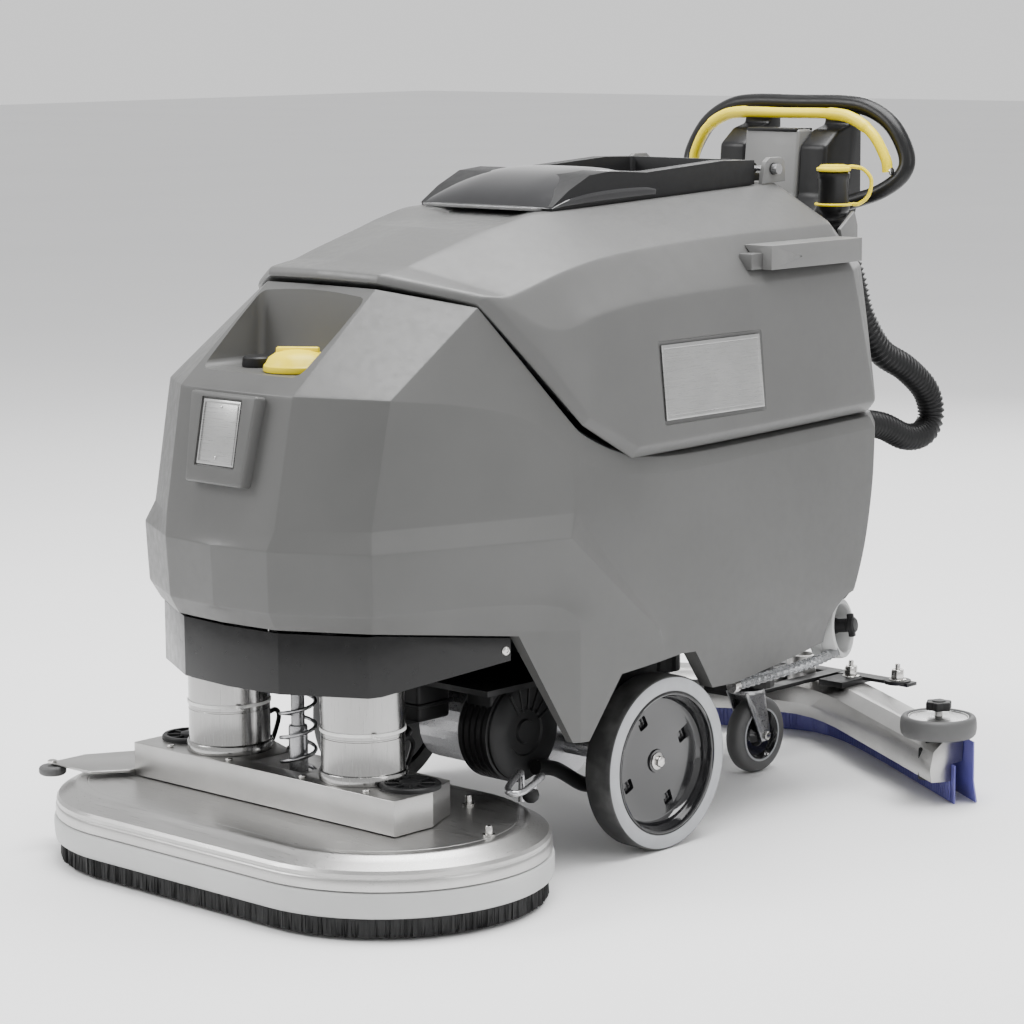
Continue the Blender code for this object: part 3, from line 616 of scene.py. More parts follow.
def block(name: str, low: Point, high: Point, radius: float = .001, segments: int = 2) -> Piece:
    """Box with rounded edges.

    Args:
        name: Name of the object.
        low: Lowest corner.
        high: Highest corner.
        radius: Radius of the edges.
        segments: Faces across each rounding.

    Returns:
        The box.
    """
    size = [b - a for a, b in zip(low, high)]
    middle = [(a + b) / 2 for a, b in zip(low, high)]
    bpy.ops.mesh.primitive_cube_add(size=1)
    obj = bpy.context.active_object
    obj.name = name
    moved(obj, Matrix.Translation(middle) @ Matrix.Diagonal((*size, 1)))
    return soften(obj, radius, segments)


def upright(obj: Piece, axis: Axis, centre: Point) -> Piece:
    """Lay an object that was made along Z along another axis, and put it in its place.

    Args:
        obj: Object made about the Z axis.
        axis: Its final axis; its top then points to the positive end.
        centre: Where its own origin goes.

    Returns:
        The same object.
    """
    if axis is Axis.X:
        moved(obj, Matrix.Rotation(math.pi / 2, 4, "Y"))
    elif axis is Axis.Y:
        moved(obj, Matrix.Rotation(-math.pi / 2, 4, "X"))
    return shifted(obj, *centre)


def turned(name: str, profile: Sequence[Pair], steps: int = 48, axis: Axis = Axis.Z,
           centre: Point = (0, 0, 0), hoop: bool = False) -> Piece:
    """Solid of revolution.

    Args:
        name: Name of the object.
        profile: Radius and height at each corner, from one end to the other, or round a hoop's section.
        steps: Faces around.
        axis: Axis of revolution.
        centre: Where the profile's zero height lies.
        hoop: Whether the profile is a closed section that doesn't reach the axis.

    Returns:
        The solid.
    """
    def ring(radius: float, height: float) -> list[Point]:
        """Circle of points at one corner of the profile."""
        size = max(radius, POLE_RADIUS)
        turns = [2 * math.pi * i / steps for i in range(steps)]
        return [(size * math.cos(a), size * math.sin(a), height) for a in turns]

    rows = list(profile) + ([profile[0]] if hoop else [])
    return upright(loft(name, [ring(*row) for row in rows], closed=hoop), axis, centre)


def hexagon(name: str, across: float, height: float, axis: Axis = Axis.Z,
            centre: Point = (0, 0, 0)) -> Piece:
    """Six-sided nut or bolt head with a turned chamfer.

    Args:
        name: Name of the object.
        across: Size across the flats.
        height: Height of the head.
        axis: Axis of the head.
        centre: Middle of its foot.

    Returns:
        The head.
    """
    corner = across / math.sqrt(3)
    profile = [(corner, 0), (corner, height * .82), (corner * .86, height)]
    head = turned(name, profile, 6, axis, centre)
    return soften(head, across * .03, 1)


def smooth_route(points: Sequence[Point], steps: int) -> list[Point]:
    """Points of a smooth curve through given points.

    Args:
        points: Points that the curve passes.
        steps: Stretches between two given points.

    Returns:
        The curve's points.
    """
    rows = [Vector(p) for p in points]
    out: list[Point] = []
    for i in range(len(rows) - 1):
        a, b = rows[max(i - 1, 0)], rows[i]
        c, d = rows[i + 1], rows[min(i + 2, len(rows) - 1)]
        for j in range(steps):
            t = j / steps
            out.append(tuple(.5 * (2 * b + (c - a) * t + (2 * a - 5 * b + 4 * c - d) * t ** 2 +
                (3 * b - a - 3 * c + d) * t ** 3)))
    out.append(tuple(rows[-1]))
    return out


def strand(name: str, points: Sequence[Point], radius: float | Callable[[float], float], sides: int = 10,
           closed: bool = False) -> Piece:
    """Curve object of round section along points.

    Args:
        name: Name of the object.
        points: Points of the centreline.
        radius: Radius, or a function that gives it at a share of the way.
        sides: Roughly the number of sides.
        closed: Whether the line closes on itself.

    Returns:
        The curve object.
    """
    line = bpy.data.curves.new(name, "CURVE")
    line.dimensions = "3D"
    spline = line.splines.new("POLY")
    spline.points.add(len(points) - 1)
    for i, (knot, point) in enumerate(zip(spline.points, points)):
        knot.co = (*point, 1)
        if callable(radius):
            knot.radius = radius(i / (len(points) - 1))
    spline.use_cyclic_u = closed
    line.bevel_depth = 1.0 if callable(radius) else radius
    line.bevel_resolution = max(1, sides // 4 - 1)
    line.use_fill_caps = not closed
    obj = bpy.data.objects.new(name, line)
    bpy.context.scene.collection.objects.link(obj)
    return obj


def rod(name: str, points: Sequence[Point], radius: float | Callable[[float], float], sides: int = 12,
        closed: bool = False) -> Piece:
    """Mesh rod of round section along points.

    Args:
        name: Name of the object.
        points: Points of the centreline.
        radius: Radius, or a function that gives it at a share of the way.
        sides: Roughly the number of sides.
        closed: Whether the rod closes on itself.

    Returns:
        The rod, with its end caps welded.
    """
    obj = strand(name, points, radius, sides, closed)
    pick(obj)
    bpy.ops.object.convert(target="MESH")
    obj = bpy.context.active_object
    with editing(obj):
        bpy.ops.mesh.select_all(action="SELECT")
        bpy.ops.mesh.remove_doubles(threshold=1e-5)
        bpy.ops.mesh.normals_make_consistent(inside=False)
    return obj


def node_copy(node: str, name: str, dissolve: float = 1.0) -> Piece:
    """Welded copy of a designed solid, moved back to the drive axle's station.

    Args:
        node: Name of the solid.
        name: Name of the copy.
        dissolve: Largest turn in degrees between faces that are merged into one.

    Returns:
        The copy.
    """
    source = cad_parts[node]
    obj = duplicate(source, name, Matrix.Translation((0, -AXLE_Y, 0)) @ source.matrix_world)
    with editing(obj):
        bpy.ops.mesh.select_all(action="SELECT")
        bpy.ops.mesh.remove_doubles(threshold=2e-5)
        bpy.ops.mesh.dissolve_limited(angle_limit=math.radians(dissolve))
        bpy.ops.mesh.normals_make_consistent(inside=False)
    return obj


def refined(node: str, name: str, width: float, segments: int, angle: float,
            dissolve: float = 1.0) -> Piece:
    """Copy of a designed solid with its edges rounded.

    Args:
        node: Name of the solid.
        name: Name of the copy.
        width: Width of the rounding in metres.
        segments: Faces across the rounding.
        angle: Smallest turn in degrees that is rounded.
        dissolve: Largest turn in degrees between faces that are merged into one.

    Returns:
        The copy.
    """
    return soften(node_copy(node, name, dissolve), width, segments, angle)


def settle(obj: Piece, finish: Finish, body: str, *nodes: str, smooth: float = 35.0,
           slot: str | None = None) -> Piece:
    """Move a finished piece into the machine's frame, dress it and hang it on its body.

    Args:
        obj: Piece, modelled at the drive axle's station.
        finish: Its finish.
        body: Body that it moves with.
        nodes: Designed solids that it stands for.
        smooth: Largest turn in degrees that is shaded smooth.
        slot: Not used.

    Returns:
        The piece.
    """
    shifted(obj, 0, AXLE_Y, 0)
    obj.data.materials.clear()
    obj.data.materials.append(finish.material())
    pick(obj)
    bpy.ops.object.shade_smooth_by_angle(angle=math.radians(smooth))
    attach(obj, body)
    if nodes:
        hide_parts(*nodes)
    LOG.info("%s rides on %s", obj.name, body)
    return obj


def settle_pair(obj: Piece, finish: Finish, body: str, node: str | None = None,
                slot: str | None = None, smooth: float = 35.0) -> None:
    """Settle a left piece and its mirror image.

    Args:
        obj: Left piece, whose name gets the side's name added.
        finish: Its finish.
        body: Body's name without the side.
        node: Name without the side of the solid that it stands for.
        slot: Handed on to settle, which does not use it.
        smooth: Largest turn in degrees that is shaded smooth.
    """
    base = obj.name
    other = mirrored(obj, base + "_right")
    obj.name = base + "_left"
    for piece, name in ((obj, "left"), (other, "right")):
        nodes = (f"{node}_{name}",) if node else ()
        settle(piece, finish, f"{body}_{name}", *nodes, smooth=smooth, slot=slot)


def dress(finish: Finish, *nodes: str) -> None:
    """Give designed solids that stay in view their finish.

    Args:
        finish: The finish.
        nodes: Names of the solids.
    """
    for node in nodes:
        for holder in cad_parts[node].material_slots:
            holder.link = "OBJECT"
            holder.material = finish.material()
        LOG.info("%s keeps its designed shape", node)


# ---------------------------------------------------------------- studio
@dataclass
class Studio:
    """Camera, floor and soft lights.

    Attributes:
        azimuth: Direction of the camera round the machine in degrees, 0 from the front.
        elevation: Angle above the horizon in degrees.
        roll: Roll of the camera in degrees.
        distance: Distance to the aim in metres.
        aim: Point that the camera looks at, from the drive axle's station.
        lens: Focal length in millimetres on a 36 mm sensor.
        rise: Upward shift of the picture, as a share of its width.
    """

    azimuth: float = 43.293
    elevation: float = 9.521
    roll: float = -.416
    distance: float = 4.7417
    aim: Point = (.0006, 0, .4128)
    lens: float = 112.5
    rise: float = .0307

    def camera(self) -> None:
        """Put up the camera and make it the scene's own."""
        az, el = math.radians(self.azimuth), math.radians(self.elevation)
        back = Vector((math.sin(az) * math.cos(el), -math.cos(az) * math.cos(el), math.sin(el)))
        across = Vector((math.cos(az), math.sin(az), 0))
        upward = back.cross(across)
        roll = math.radians(self.roll)
        right = across * math.cos(roll) + upward * math.sin(roll)
        place = Matrix((right, back.cross(right), back)).transposed().to_4x4()
        place.translation = Vector(self.aim) + Vector((0, AXLE_Y, 0)) + back * self.distance
        data = bpy.data.cameras.new("studio_camera")
        data.lens, data.sensor_width, data.shift_y = self.lens, 36.0, self.rise
        eye = bpy.data.objects.new("studio_camera", data)
        bpy.context.scene.collection.objects.link(eye)
        eye.matrix_world = place
        bpy.context.scene.camera = eye

    def lamp(self, name: str, place: Point, size: Pair, power: float) -> None:
        """Hang one soft box that faces the machine.

        Args:
            name: Name of the light.
            place: Where it hangs.
            size: Width and height in metres.
            power: Power in watts.
        """
        data = bpy.data.lights.new(name, "AREA")
        data.shape, data.size, data.size_y, data.energy = "RECTANGLE", *size, power
        obj = bpy.data.objects.new(name, data)
        bpy.context.scene.collection.objects.link(obj)
        obj.location = place
        obj.rotation_euler = (Vector((0, 0, .45)) - Vector(place)).to_track_quat("-Z", "Y").to_euler()

    def floor(self) -> None:
        """Lay the pale floor."""
        bpy.ops.mesh.primitive_plane_add(size=60, location=(0, 0, -.0004))
        ground = bpy.context.active_object
        ground.name = "studio_floor"
        sheet = NodeSheet("floor_paint")
        sheet.wire(sheet.blend(sheet.noise(.8, 3.0), (.93, .93, .93), (.95, .95, .95)), "Base Color")
        sheet.shader.inputs["Roughness"].default_value = .85
        ground.data.materials.append(sheet.material)

    def build(self) -> None:
        """Set up the whole studio."""
        self.camera()
        self.floor()
        self.lamp("key_box", (-2.6, -3.2, 3.4), (2.0, 2.0), 130)
        self.lamp("side_box", (4.4, .4, 2.6), (1.2, 2.6), 38)
        self.lamp("top_box", (.2, .3, 4.0), (3.0, 3.0), 330)
        self.lamp("rear_box", (-1.6, 4.2, 2.2), (2.6, 1.6), 60)
        world = bpy.data.worlds.new("studio_air")
        world.use_nodes = True
        tree = world.node_tree
        air = tree.nodes["Background"]
        air.inputs["Strength"].default_value = 1.08
        way = tree.nodes.new("ShaderNodeTexCoord").outputs["Generated"]
        split = tree.nodes.new("ShaderNodeSeparateXYZ")
        tree.links.new(way, split.inputs["Vector"])
        ramp = tree.nodes.new("ShaderNodeValToRGB")
        ends = ramp.color_ramp.elements
        ends[0].position, ends[0].color = .0, (.95, .95, .95, 1)
        ends[1].position, ends[1].color = .95, (.62, .62, .63, 1)
        middle = ramp.color_ramp.elements.new(.22)
        middle.color = (.98, .98, .98, 1)
        tree.links.new(split.outputs["Z"], ramp.inputs["Fac"])
        tree.links.new(ramp.outputs["Color"], air.inputs["Color"])
        bpy.context.scene.world = world


# ---------------------------------------------------------------- drain line
@dataclass
class DrainLine:
    """Corrugated drain hose with the neck, cap and strap that close it.

    Attributes:
        route: Points that the hose's centreline passes, top end first.
        crest: Outer radius of the hose.
        valley: Radius between two ribs.
        pitch: Distance between ribs.
        neck: Middle of the neck's foot.
        way: Direction in which the strap loops out.
    """

    route: tuple[Point, ...] = (
        (.165, .556, .879), (.165, .556, .874), (.1655, .561, .856), (.167, .572, .835), (.176, .592, .775),
        (.186, .604, .715), (.195, .640, .660), (.203, .697, .628), (.206, .748, .588), (.206, .763, .546),
        (.205, .742, .520), (.204, .697, .519), (.203, .640, .541), (.202, .590, .551), (.202, .566, .552))
    crest: float = .022
    valley: float = .0172
    pitch: float = .0084
    neck: Point = (.165, .556, .880)
    way: Pair = (.848, .530)

    def hose(self) -> None:
        line = [Vector(p) for p in smooth_route(self.route, 24)]
        length = sum((b - a).length for a, b in zip(line, line[1:]))
        waves = round(length / self.pitch)
        count = waves * 4
        step = length / count
        points, walked, target = [line[0]], 0.0, step
        for a, b in zip(line, line[1:]):
            span = (b - a).length
            while span > 0 and target <= walked + span and len(points) < count:
                points.append(a.lerp(b, (target - walked) / span))
                target += step
            walked += span
        points.append(line[-1])
        half, swing = (self.crest + self.valley) / 2, (self.crest - self.valley) / 2
        points = [tuple(p + Vector((0, AXLE_Y, 0))) for p in points]
        hose = strand("corrugated_drain_hose", points,
            lambda share: half + swing * math.cos(2 * math.pi * waves * share), 24)
        hose.data.materials.append(SOFT_BLACK.material())
        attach(hose, "chassis")
        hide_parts("drain_hose")
        LOG.info("corrugated_drain_hose is %.3f m long", length)

    def closure(self) -> None:
        """Make the neck, the cap and its strap."""
        x, y, z = self.neck
        neck = turned("drain_neck_shell", [(.0165, 0), (.0225, 0), (.0252, .004), (.0252, .010),
            (.0236, .012), (.0232, .050), (.0252, .053), (.0252, .060), (.0225, .062), (.0165, .062)], 40,
            centre=self.neck, hoop=True)
        settle(neck, BLACK, "chassis", "drain_neck")
        cap = turned("drain_cap_disc", [(.0225, .0625), (.0262, .0640), (.0268, .0670), (.0258, .0690),
            (.0222, .0700), (.0212, .0722), (.0180, .0732), (0, .0738)], 48, centre=self.neck)
        strap = [(.020, .0690), (.030, .0700), (.046, .0660), (.058, .050), (.054, .026), (.040, .0135),
            (.029, .0125)]
        points = [(x + out * self.way[0], y + out * self.way[1], z + up) for out, up in strap]
        band = rod("strap_band", smooth_route(points, 8), .0030, 12)
        circle = [(x + .0272 * math.cos(t), y + .0272 * math.sin(t), z + .0125)
                  for t in [2 * math.pi * i / 40 for i in range(40)]]
        ring = rod("strap_ring", circle, .0024, 8, closed=True)
        settle(gather("drain_cap_and_strap", [cap, band]), YELLOW, "drain_closure", "drain_cap")
        settle(ring, YELLOW, "chassis", slot="yellow")

    def build(self) -> None:
        """Make the whole drain line."""
        self.hose()
        self.closure()


# ---------------------------------------------------------------- shells
def body_ring(row: Sequence[Point]) -> list[Point]:
    """Close a half row of points, from front centre to rear centre, into a full ring."""
    return list(row) + [(-x, y, z) for x, y, z in row[-2:0:-1]]


@dataclass
class LowerBody:
    """Lower shell with its nose recess, badge frame, apron and badge plate.

    Attributes:
        rows: Half outlines from the floor side up, each from front centre to rear centre.
        underside: Side outline of what is open below the shell, as y and z.
        edge: Width of the rounding on the shell's creases.
        badge_middle: Middle of the badge plate.
        badge_lean: How far the badge plate leans back, in degrees.
    """

    rows: tuple[tuple[Point, ...], ...] = (
        ((0, -.560, .180), (.095, -.552, .180), (.205, -.490, .180), (.306, -.188, .180), (.312, -.040, .180),
         (.311, -.030, .180), (.308, .040, .180), (.300, .110, .180), (.268, .400, .180), (.225, .430, .180),
         (0, .440, .180)),
        ((0, -.573, .377), (.098, -.565, .377), (.214, -.499, .377), (.313, -.195, .350), (.320, -.036, .327),
         (.319, -.026, .323), (.318, .040, .320), (.315, .105, .318), (.300, .443, .321), (.262, .490, .321),
         (0, .500, .321)),
        ((0, -.588, .402), (.100, -.579, .402), (.226, -.509, .402), (.316, -.215, .402), (.323, -.127, .402),
         (.3185, -.104, .402), (.319, .000, .390), (.316, .133, .390), (.300, .468, .380), (.258, .522, .380),
         (0, .534, .380)),
        ((0, -.592, .486), (.102, -.583, .486), (.229, -.512, .486), (.313, -.262, .485), (.326, -.226, .484),
         (.3166, -.179, .484), (.318, -.040, .460), (.316, .133, .460), (.302, .480, .460), (.261, .535, .460),
         (0, .547, .460)),
        ((0, -.582, .515), (.109, -.574, .515), (.218, -.501, .515), (.303, -.247, .515), (.316, -.209, .515),
         (.3162, -.201, .513), (.318, -.050, .500), (.316, .133, .500), (.303, .483, .500), (.262, .538, .500),
         (0, .550, .500)),
        ((0, -.548, .690), (.112, -.540, .690), (.221, -.466, .686), (.277, -.250, .660), (.303, -.190, .585),
         (.305, -.182, .581), (.317, -.081, .546), (.315, .133, .553), (.303, .485, .563), (.262, .540, .563),
         (0, .552, .563)),
        ((0, -.388, .824), (.108, -.379, .822), (.220, -.296, .798), (.256, -.236, .711), (.292, -.178, .624),
         (.294, -.172, .619), (.307, -.078, .567), (.306, .133, .572), (.296, .480, .581), (.257, .533, .582),
         (0, .543, .582)))
    underside: tuple[Pair, ...] = (
        (-.720, .379), (-.499, .377), (-.287, .352), (-.200, .191), (-.171, .189), (-.110, .276), (.018, .286),
        (.050, .284), (.098, .222), (.158, .219), (.304, .233), (.400, .245), (.620, .262), (.620, .080),
        (-.720, .080))
    edge: float = .0045
    badge_middle: Point = (0, -.5712, .636)
    badge_lean: float = 11.3

    def recess(self) -> Piece:
        """Cutter for the filler recess, with sloping walls and round corners."""
        front = -.700

        def rim(half: float, rear: float, z: float) -> list[Point]:
            """Corners of the cutter at one height."""
            return [(-half, front, z), (half, front, z), (half, rear, z), (-half, rear, z)]

        rings = [rim(.095, -.406, .7115), rim(.098, -.403, .722), rim(.103, -.396, .770),
                 rim(.106, -.388, .900)]
        return soften(loft("recess_cutter", rings), .014, 4, 25)

    def shell(self) -> None:
        """Loft the shell, round its creases and cut its openings."""
        body = loft("lower_shell", [body_ring(row) for row in self.rows])
        soften(body, self.edge, 2, 9)
        rounded(body, 2)
        combine(body, prism("under_cutter", self.underside, -.5, .5, Axis.X))
        plinth = prism("badge_plinth", [(-.056, -.070), (.056, -.070), (.066, .054), (-.066, .054)], -.0022,
            .030, Axis.Y)
        plinth = turned_by(soften(plinth, .0050, 3, 30), -self.badge_lean, Axis.X)
        combine(body, shifted(plinth, *self.badge_middle), "UNION")
        front = [(.290, -.200), (.205, -.485), (.091, -.552), (-.091, -.552), (-.205, -.485), (-.290, -.200)]
        bay = [(-.300, -.120), (-.300, .150), (-.286, .440), (-.235, .488), (.235, .488), (.286, .440),
            (.300, .150), (.300, -.120)]
        combine(body, prism("bay_cutter", bay + front, .332, .545))
        low_bay = [(-.290, -.120), (-.286, .060), (-.256, .398), (-.241, .441), (.241, .441), (.256, .398),
            (.286, .060), (.290, -.120)]
        combine(body, prism("low_bay_cutter", low_bay + front, .05, .336))
        combine(body, block("notch_cutter", (-.136, .400, .05), (.136, .520, .276), .004, 2))
        scoop = turned("scoop_cutter", [(0, -.020), (.056, -.020), (.060, .140), (0, .140)], 64)
        combine(body, LevelLine().laid(scoop))
        well = [(-.268, -.128), (-.268, .453), (.268, .453), (.268, -.128)]
        combine(body, prism("well_cutter", well, .50, .80))
        combine(body, self.recess())
        pocket = block("badge_pocket", (-.0400, -.0300, -.0470), (.0400, .0014, .0470), .0012, 2)
        turned_by(pocket, -self.badge_lean, Axis.X)
        combine(body, shifted(pocket, *self.badge_middle))
        settle(body, BODY_GREY, "chassis", "lower_body", smooth=28)

    def badge(self) -> None:
        """Brushed badge plate with a raised border and two rivets."""
        plate = block("badge_plate", (-.037, -.0014, -.044), (.037, .0014, .044), .0010, 2)
        border = loft("badge_border", [[(x, y, z) for x, z in ((-w, -h), (w, -h), (w, h), (-w, h))] for w,
            h, y in ((.0345, .0415, -.0014), (.0345, .0415, -.0024), (.0325, .0395, -.0024),
            (.0325, .0395, -.0014), (.0345, .0415, -.0014))], closed=True)
        parts = [plate, border]
        for z in (-.034, .034):
            rivet = turned("badge_rivet", [(.0026, 0), (.0022, .0010), (.0010, .0016), (0, .0017)], 20, Axis.Y)
            parts.append(shifted(turned_by(rivet, 180, Axis.Z), 0, -.0013, z))
        badge = gather("badge_plate_brushed", parts)
        turned_by(badge, -self.badge_lean, Axis.X)
        settle(shifted(badge, *self.badge_middle), BRUSHED, "chassis", "nose_badge_plate")

    def filler(self) -> None:
        """Filler cap with a raised grip ridge, and the strainer lid beside it."""
        middle = (.034, -.456, .7124)
        cap = turned("filler_cap_dome", [(.0470, 0), (.0478, .0020), (.0470, .0080), (.0440, .0110),
            (.0400, .0185), (.0310, .0245), (.0170, .0282), (0, .0298)], 72, centre=middle)
        ridge = block("filler_ridge", (-.030, -.0042, .020), (.030, .0042, .0325), .003, 3)
        combine(cap, shifted(turned_by(ridge, 35, Axis.Z), *middle), "UNION")
        settle(cap, YELLOW, "filler_cap", "fresh_water_cap")
        strainer = turned("strainer_lid", [(.021, 0), (.0216, .003), (.0205, .012), (.018, .0145),
            (.012, .0135), (0, .0130)], 48, centre=(-.052, -.452, .7118))
        settle(strainer, SOFT_BLACK, "chassis", slot="black")

    def apron(self) -> None:
        """Black apron under the nose, with its fixing screws."""
        outer = [(0, -.567), (.095, -.559), (.206, -.499), (.272, -.292)]
        inner = [(.266, -.290), (.200, -.494), (.092, -.553), (0, -.561)]
        half = outer + inner
        outline = half + [(-x, y) for x, y in inner[-2::-1]] + [(-x, y) for x, y in outer[:0:-1]]
        skirt = prism("apron_skirt", outline, .288, .372)
        wedge = [(-.560, .20), (-.560, .2885), (-.480, .2885), (-.290, .318), (-.200, .318), (-.200, .20)]
        combine(skirt, prism("apron_wedge", wedge, -.5, .5, Axis.X))
        top = [(-.600, .3737), (-.499, .3735), (-.280, .3475), (-.280, .40), (-.600, .40)]
        combine(skirt, prism("apron_top", top, -.5, .5, Axis.X))
        settle(soften(skirt, .0022, 3, 15), APRON_BLACK, "chassis", "front_apron", smooth=40)
        for side, name in SIDES:
            screw = turned("apron_screw_" + name, [(.0062, 0), (.0062, .0012), (.0048, .0024),
                (.0030, .0026), (.0026, .0012), (0, .0012)], 24, Axis.X)
            turned_by(faced(screw, side), -side * 17.5, Axis.Z)
            settle(shifted(screw, side * .2695, -.2990, .332), BOLT, "chassis", slot="steel")

    def build(self) -> None:
        """Make every piece of the lower body."""
        self.shell()
        self.badge()
        self.filler()
        self.apron()


@dataclass
class RecoveryTank:
    """Upper tank shell with its name-plate frames, blank plates and cloth holder.

    Attributes:
        rows: Half outlines from the seam up, each from front centre to rear centre.
        edge: Width of the rounding on the shell's creases.
        plate: Middle of the left plate.
        lean: Lean of the plates in degrees.
    """

    rows: tuple[tuple[Point, ...], ...] = (
        ((0, -.388, .830), (.108, -.379, .828), (.219, -.298, .803), (.258, -.232, .714), (.294, -.172, .628),
         (.304, -.080, .573), (.302, .133, .577), (.292, .478, .586), (.254, .529, .587), (0, .540, .587)),
        ((0, -.384, .844), (.109, -.374, .842), (.228, -.285, .813), (.270, -.222, .727), (.304, -.163, .640),
         (.3165, -.075, .592), (.315, .133, .594), (.304, .485, .603), (.262, .541, .604), (0, .553, .604)),
        ((0, -.340, .853), (.112, -.322, .849), (.236, -.262, .810), (.276, -.205, .752), (.287, -.140, .775),
         (.292, -.060, .790), (.294, .100, .798), (.290, .445, .803), (.254, .512, .806), (0, .525, .808)),
        ((0, -.300, .868), (.115, -.280, .862), (.237, -.246, .812), (.243, -.190, .829), (.240, -.130, .842),
         (.237, -.050, .855), (.238, .150, .867), (.240, .452, .871), (.214, .480, .873), (0, .495, .875)),
        ((0, -.200, .893), (.112, -.180, .889), (.122, -.150, .8975), (.126, -.120, .9026), (.128, -.090, .9086),
         (.140, -.050, .9101), (.142, .150, .9180), (.142, .440, .9294), (.112, .470, .9306), (0, .478, .9309)))
    edge: float = .005
    plate: Point = (.3067, .099, .675)
    lean: float = 5.88

    def shell(self) -> None:
        """Loft the tank, round its creases and press in the plate frames."""
        tank = loft("upper_shell", [body_ring(row) for row in self.rows])
        soften(tank, self.edge, 2, 9)
        rounded(tank, 2)
        combine(tank, block("mouth_cutter", (-.095, .000, .70), (.095, .360, 1.0), .012, 4))
        for side, _ in SIDES:
            pocket = block("plate_pocket", (-.0042, -.1155, -.0595), (.030, .1155, .0595), .0035, 3)
            turned_by(pocket, -self.lean, Axis.Y)
            if side < 0:
                pocket = self.flipped(pocket)
            combine(tank, shifted(pocket, side * self.plate[0], self.plate[1], self.plate[2]))
        settle(tank, TANK_GREY, "chassis", "recovery_tank", smooth=28)

    @staticmethod
    def flipped(obj: Piece) -> Piece:
        """Mirror an object's own mesh across x = 0."""
        obj.data.transform(Matrix.Scale(-1, 4, (1, 0, 0)))
        obj.data.flip_normals()
        return obj

    def plates(self) -> None:
        """Blank brushed plates with a pressed line round their border."""
        for side, name in SIDES:
            plate = block("blank_plate_" + name, (-.0012, -.109, -.053), (.0012, .109, .053), .0008, 2)
            with editing(plate) as mesh:
                edited = bmesh.from_edit_mesh(mesh)
                for face in edited.faces:
                    face.select = face.normal.x > .99
                bmesh.update_edit_mesh(mesh)
                bpy.ops.mesh.inset(thickness=.0040, depth=0)
                bpy.ops.mesh.inset(thickness=.0012, depth=-.0008)
                bpy.ops.mesh.inset(thickness=.0010, depth=.0008)
            turned_by(plate, -self.lean, Axis.Y)
            if side < 0:
                self.flipped(plate)
            shifted(plate, side * (self.plate[0] - .0020), self.plate[1], self.plate[2])
            settle(plate, BRUSHED, "chassis", "side_plate_" + name)

    def cloth_holder(self) -> None:
        """Ledge on the left side that a cloth hangs on, with its thin front lip and a fixing hole."""
        holder = refined("cloth_holder", "cloth_ledge", .0022, 3, 20)
        lip = block("ledge_lip", (.262, .206, .8185), (.2865, .240, .8420), .0018, 2)
        hole = turned("ledge_hole", [(.0016, 0), (.0016, .003), (0, .003)], 16, Axis.X, (.3020, .300, .8340))
        combine(holder, hole)
        settle(holder, PANEL_GREY, "chassis", "cloth_holder")
        settle(lip, TANK_GREY, "chassis", slot="body_grey")

    def build(self) -> None:
        """Make every piece of the tank."""
        self.shell()
        self.plates()
        self.cloth_holder()


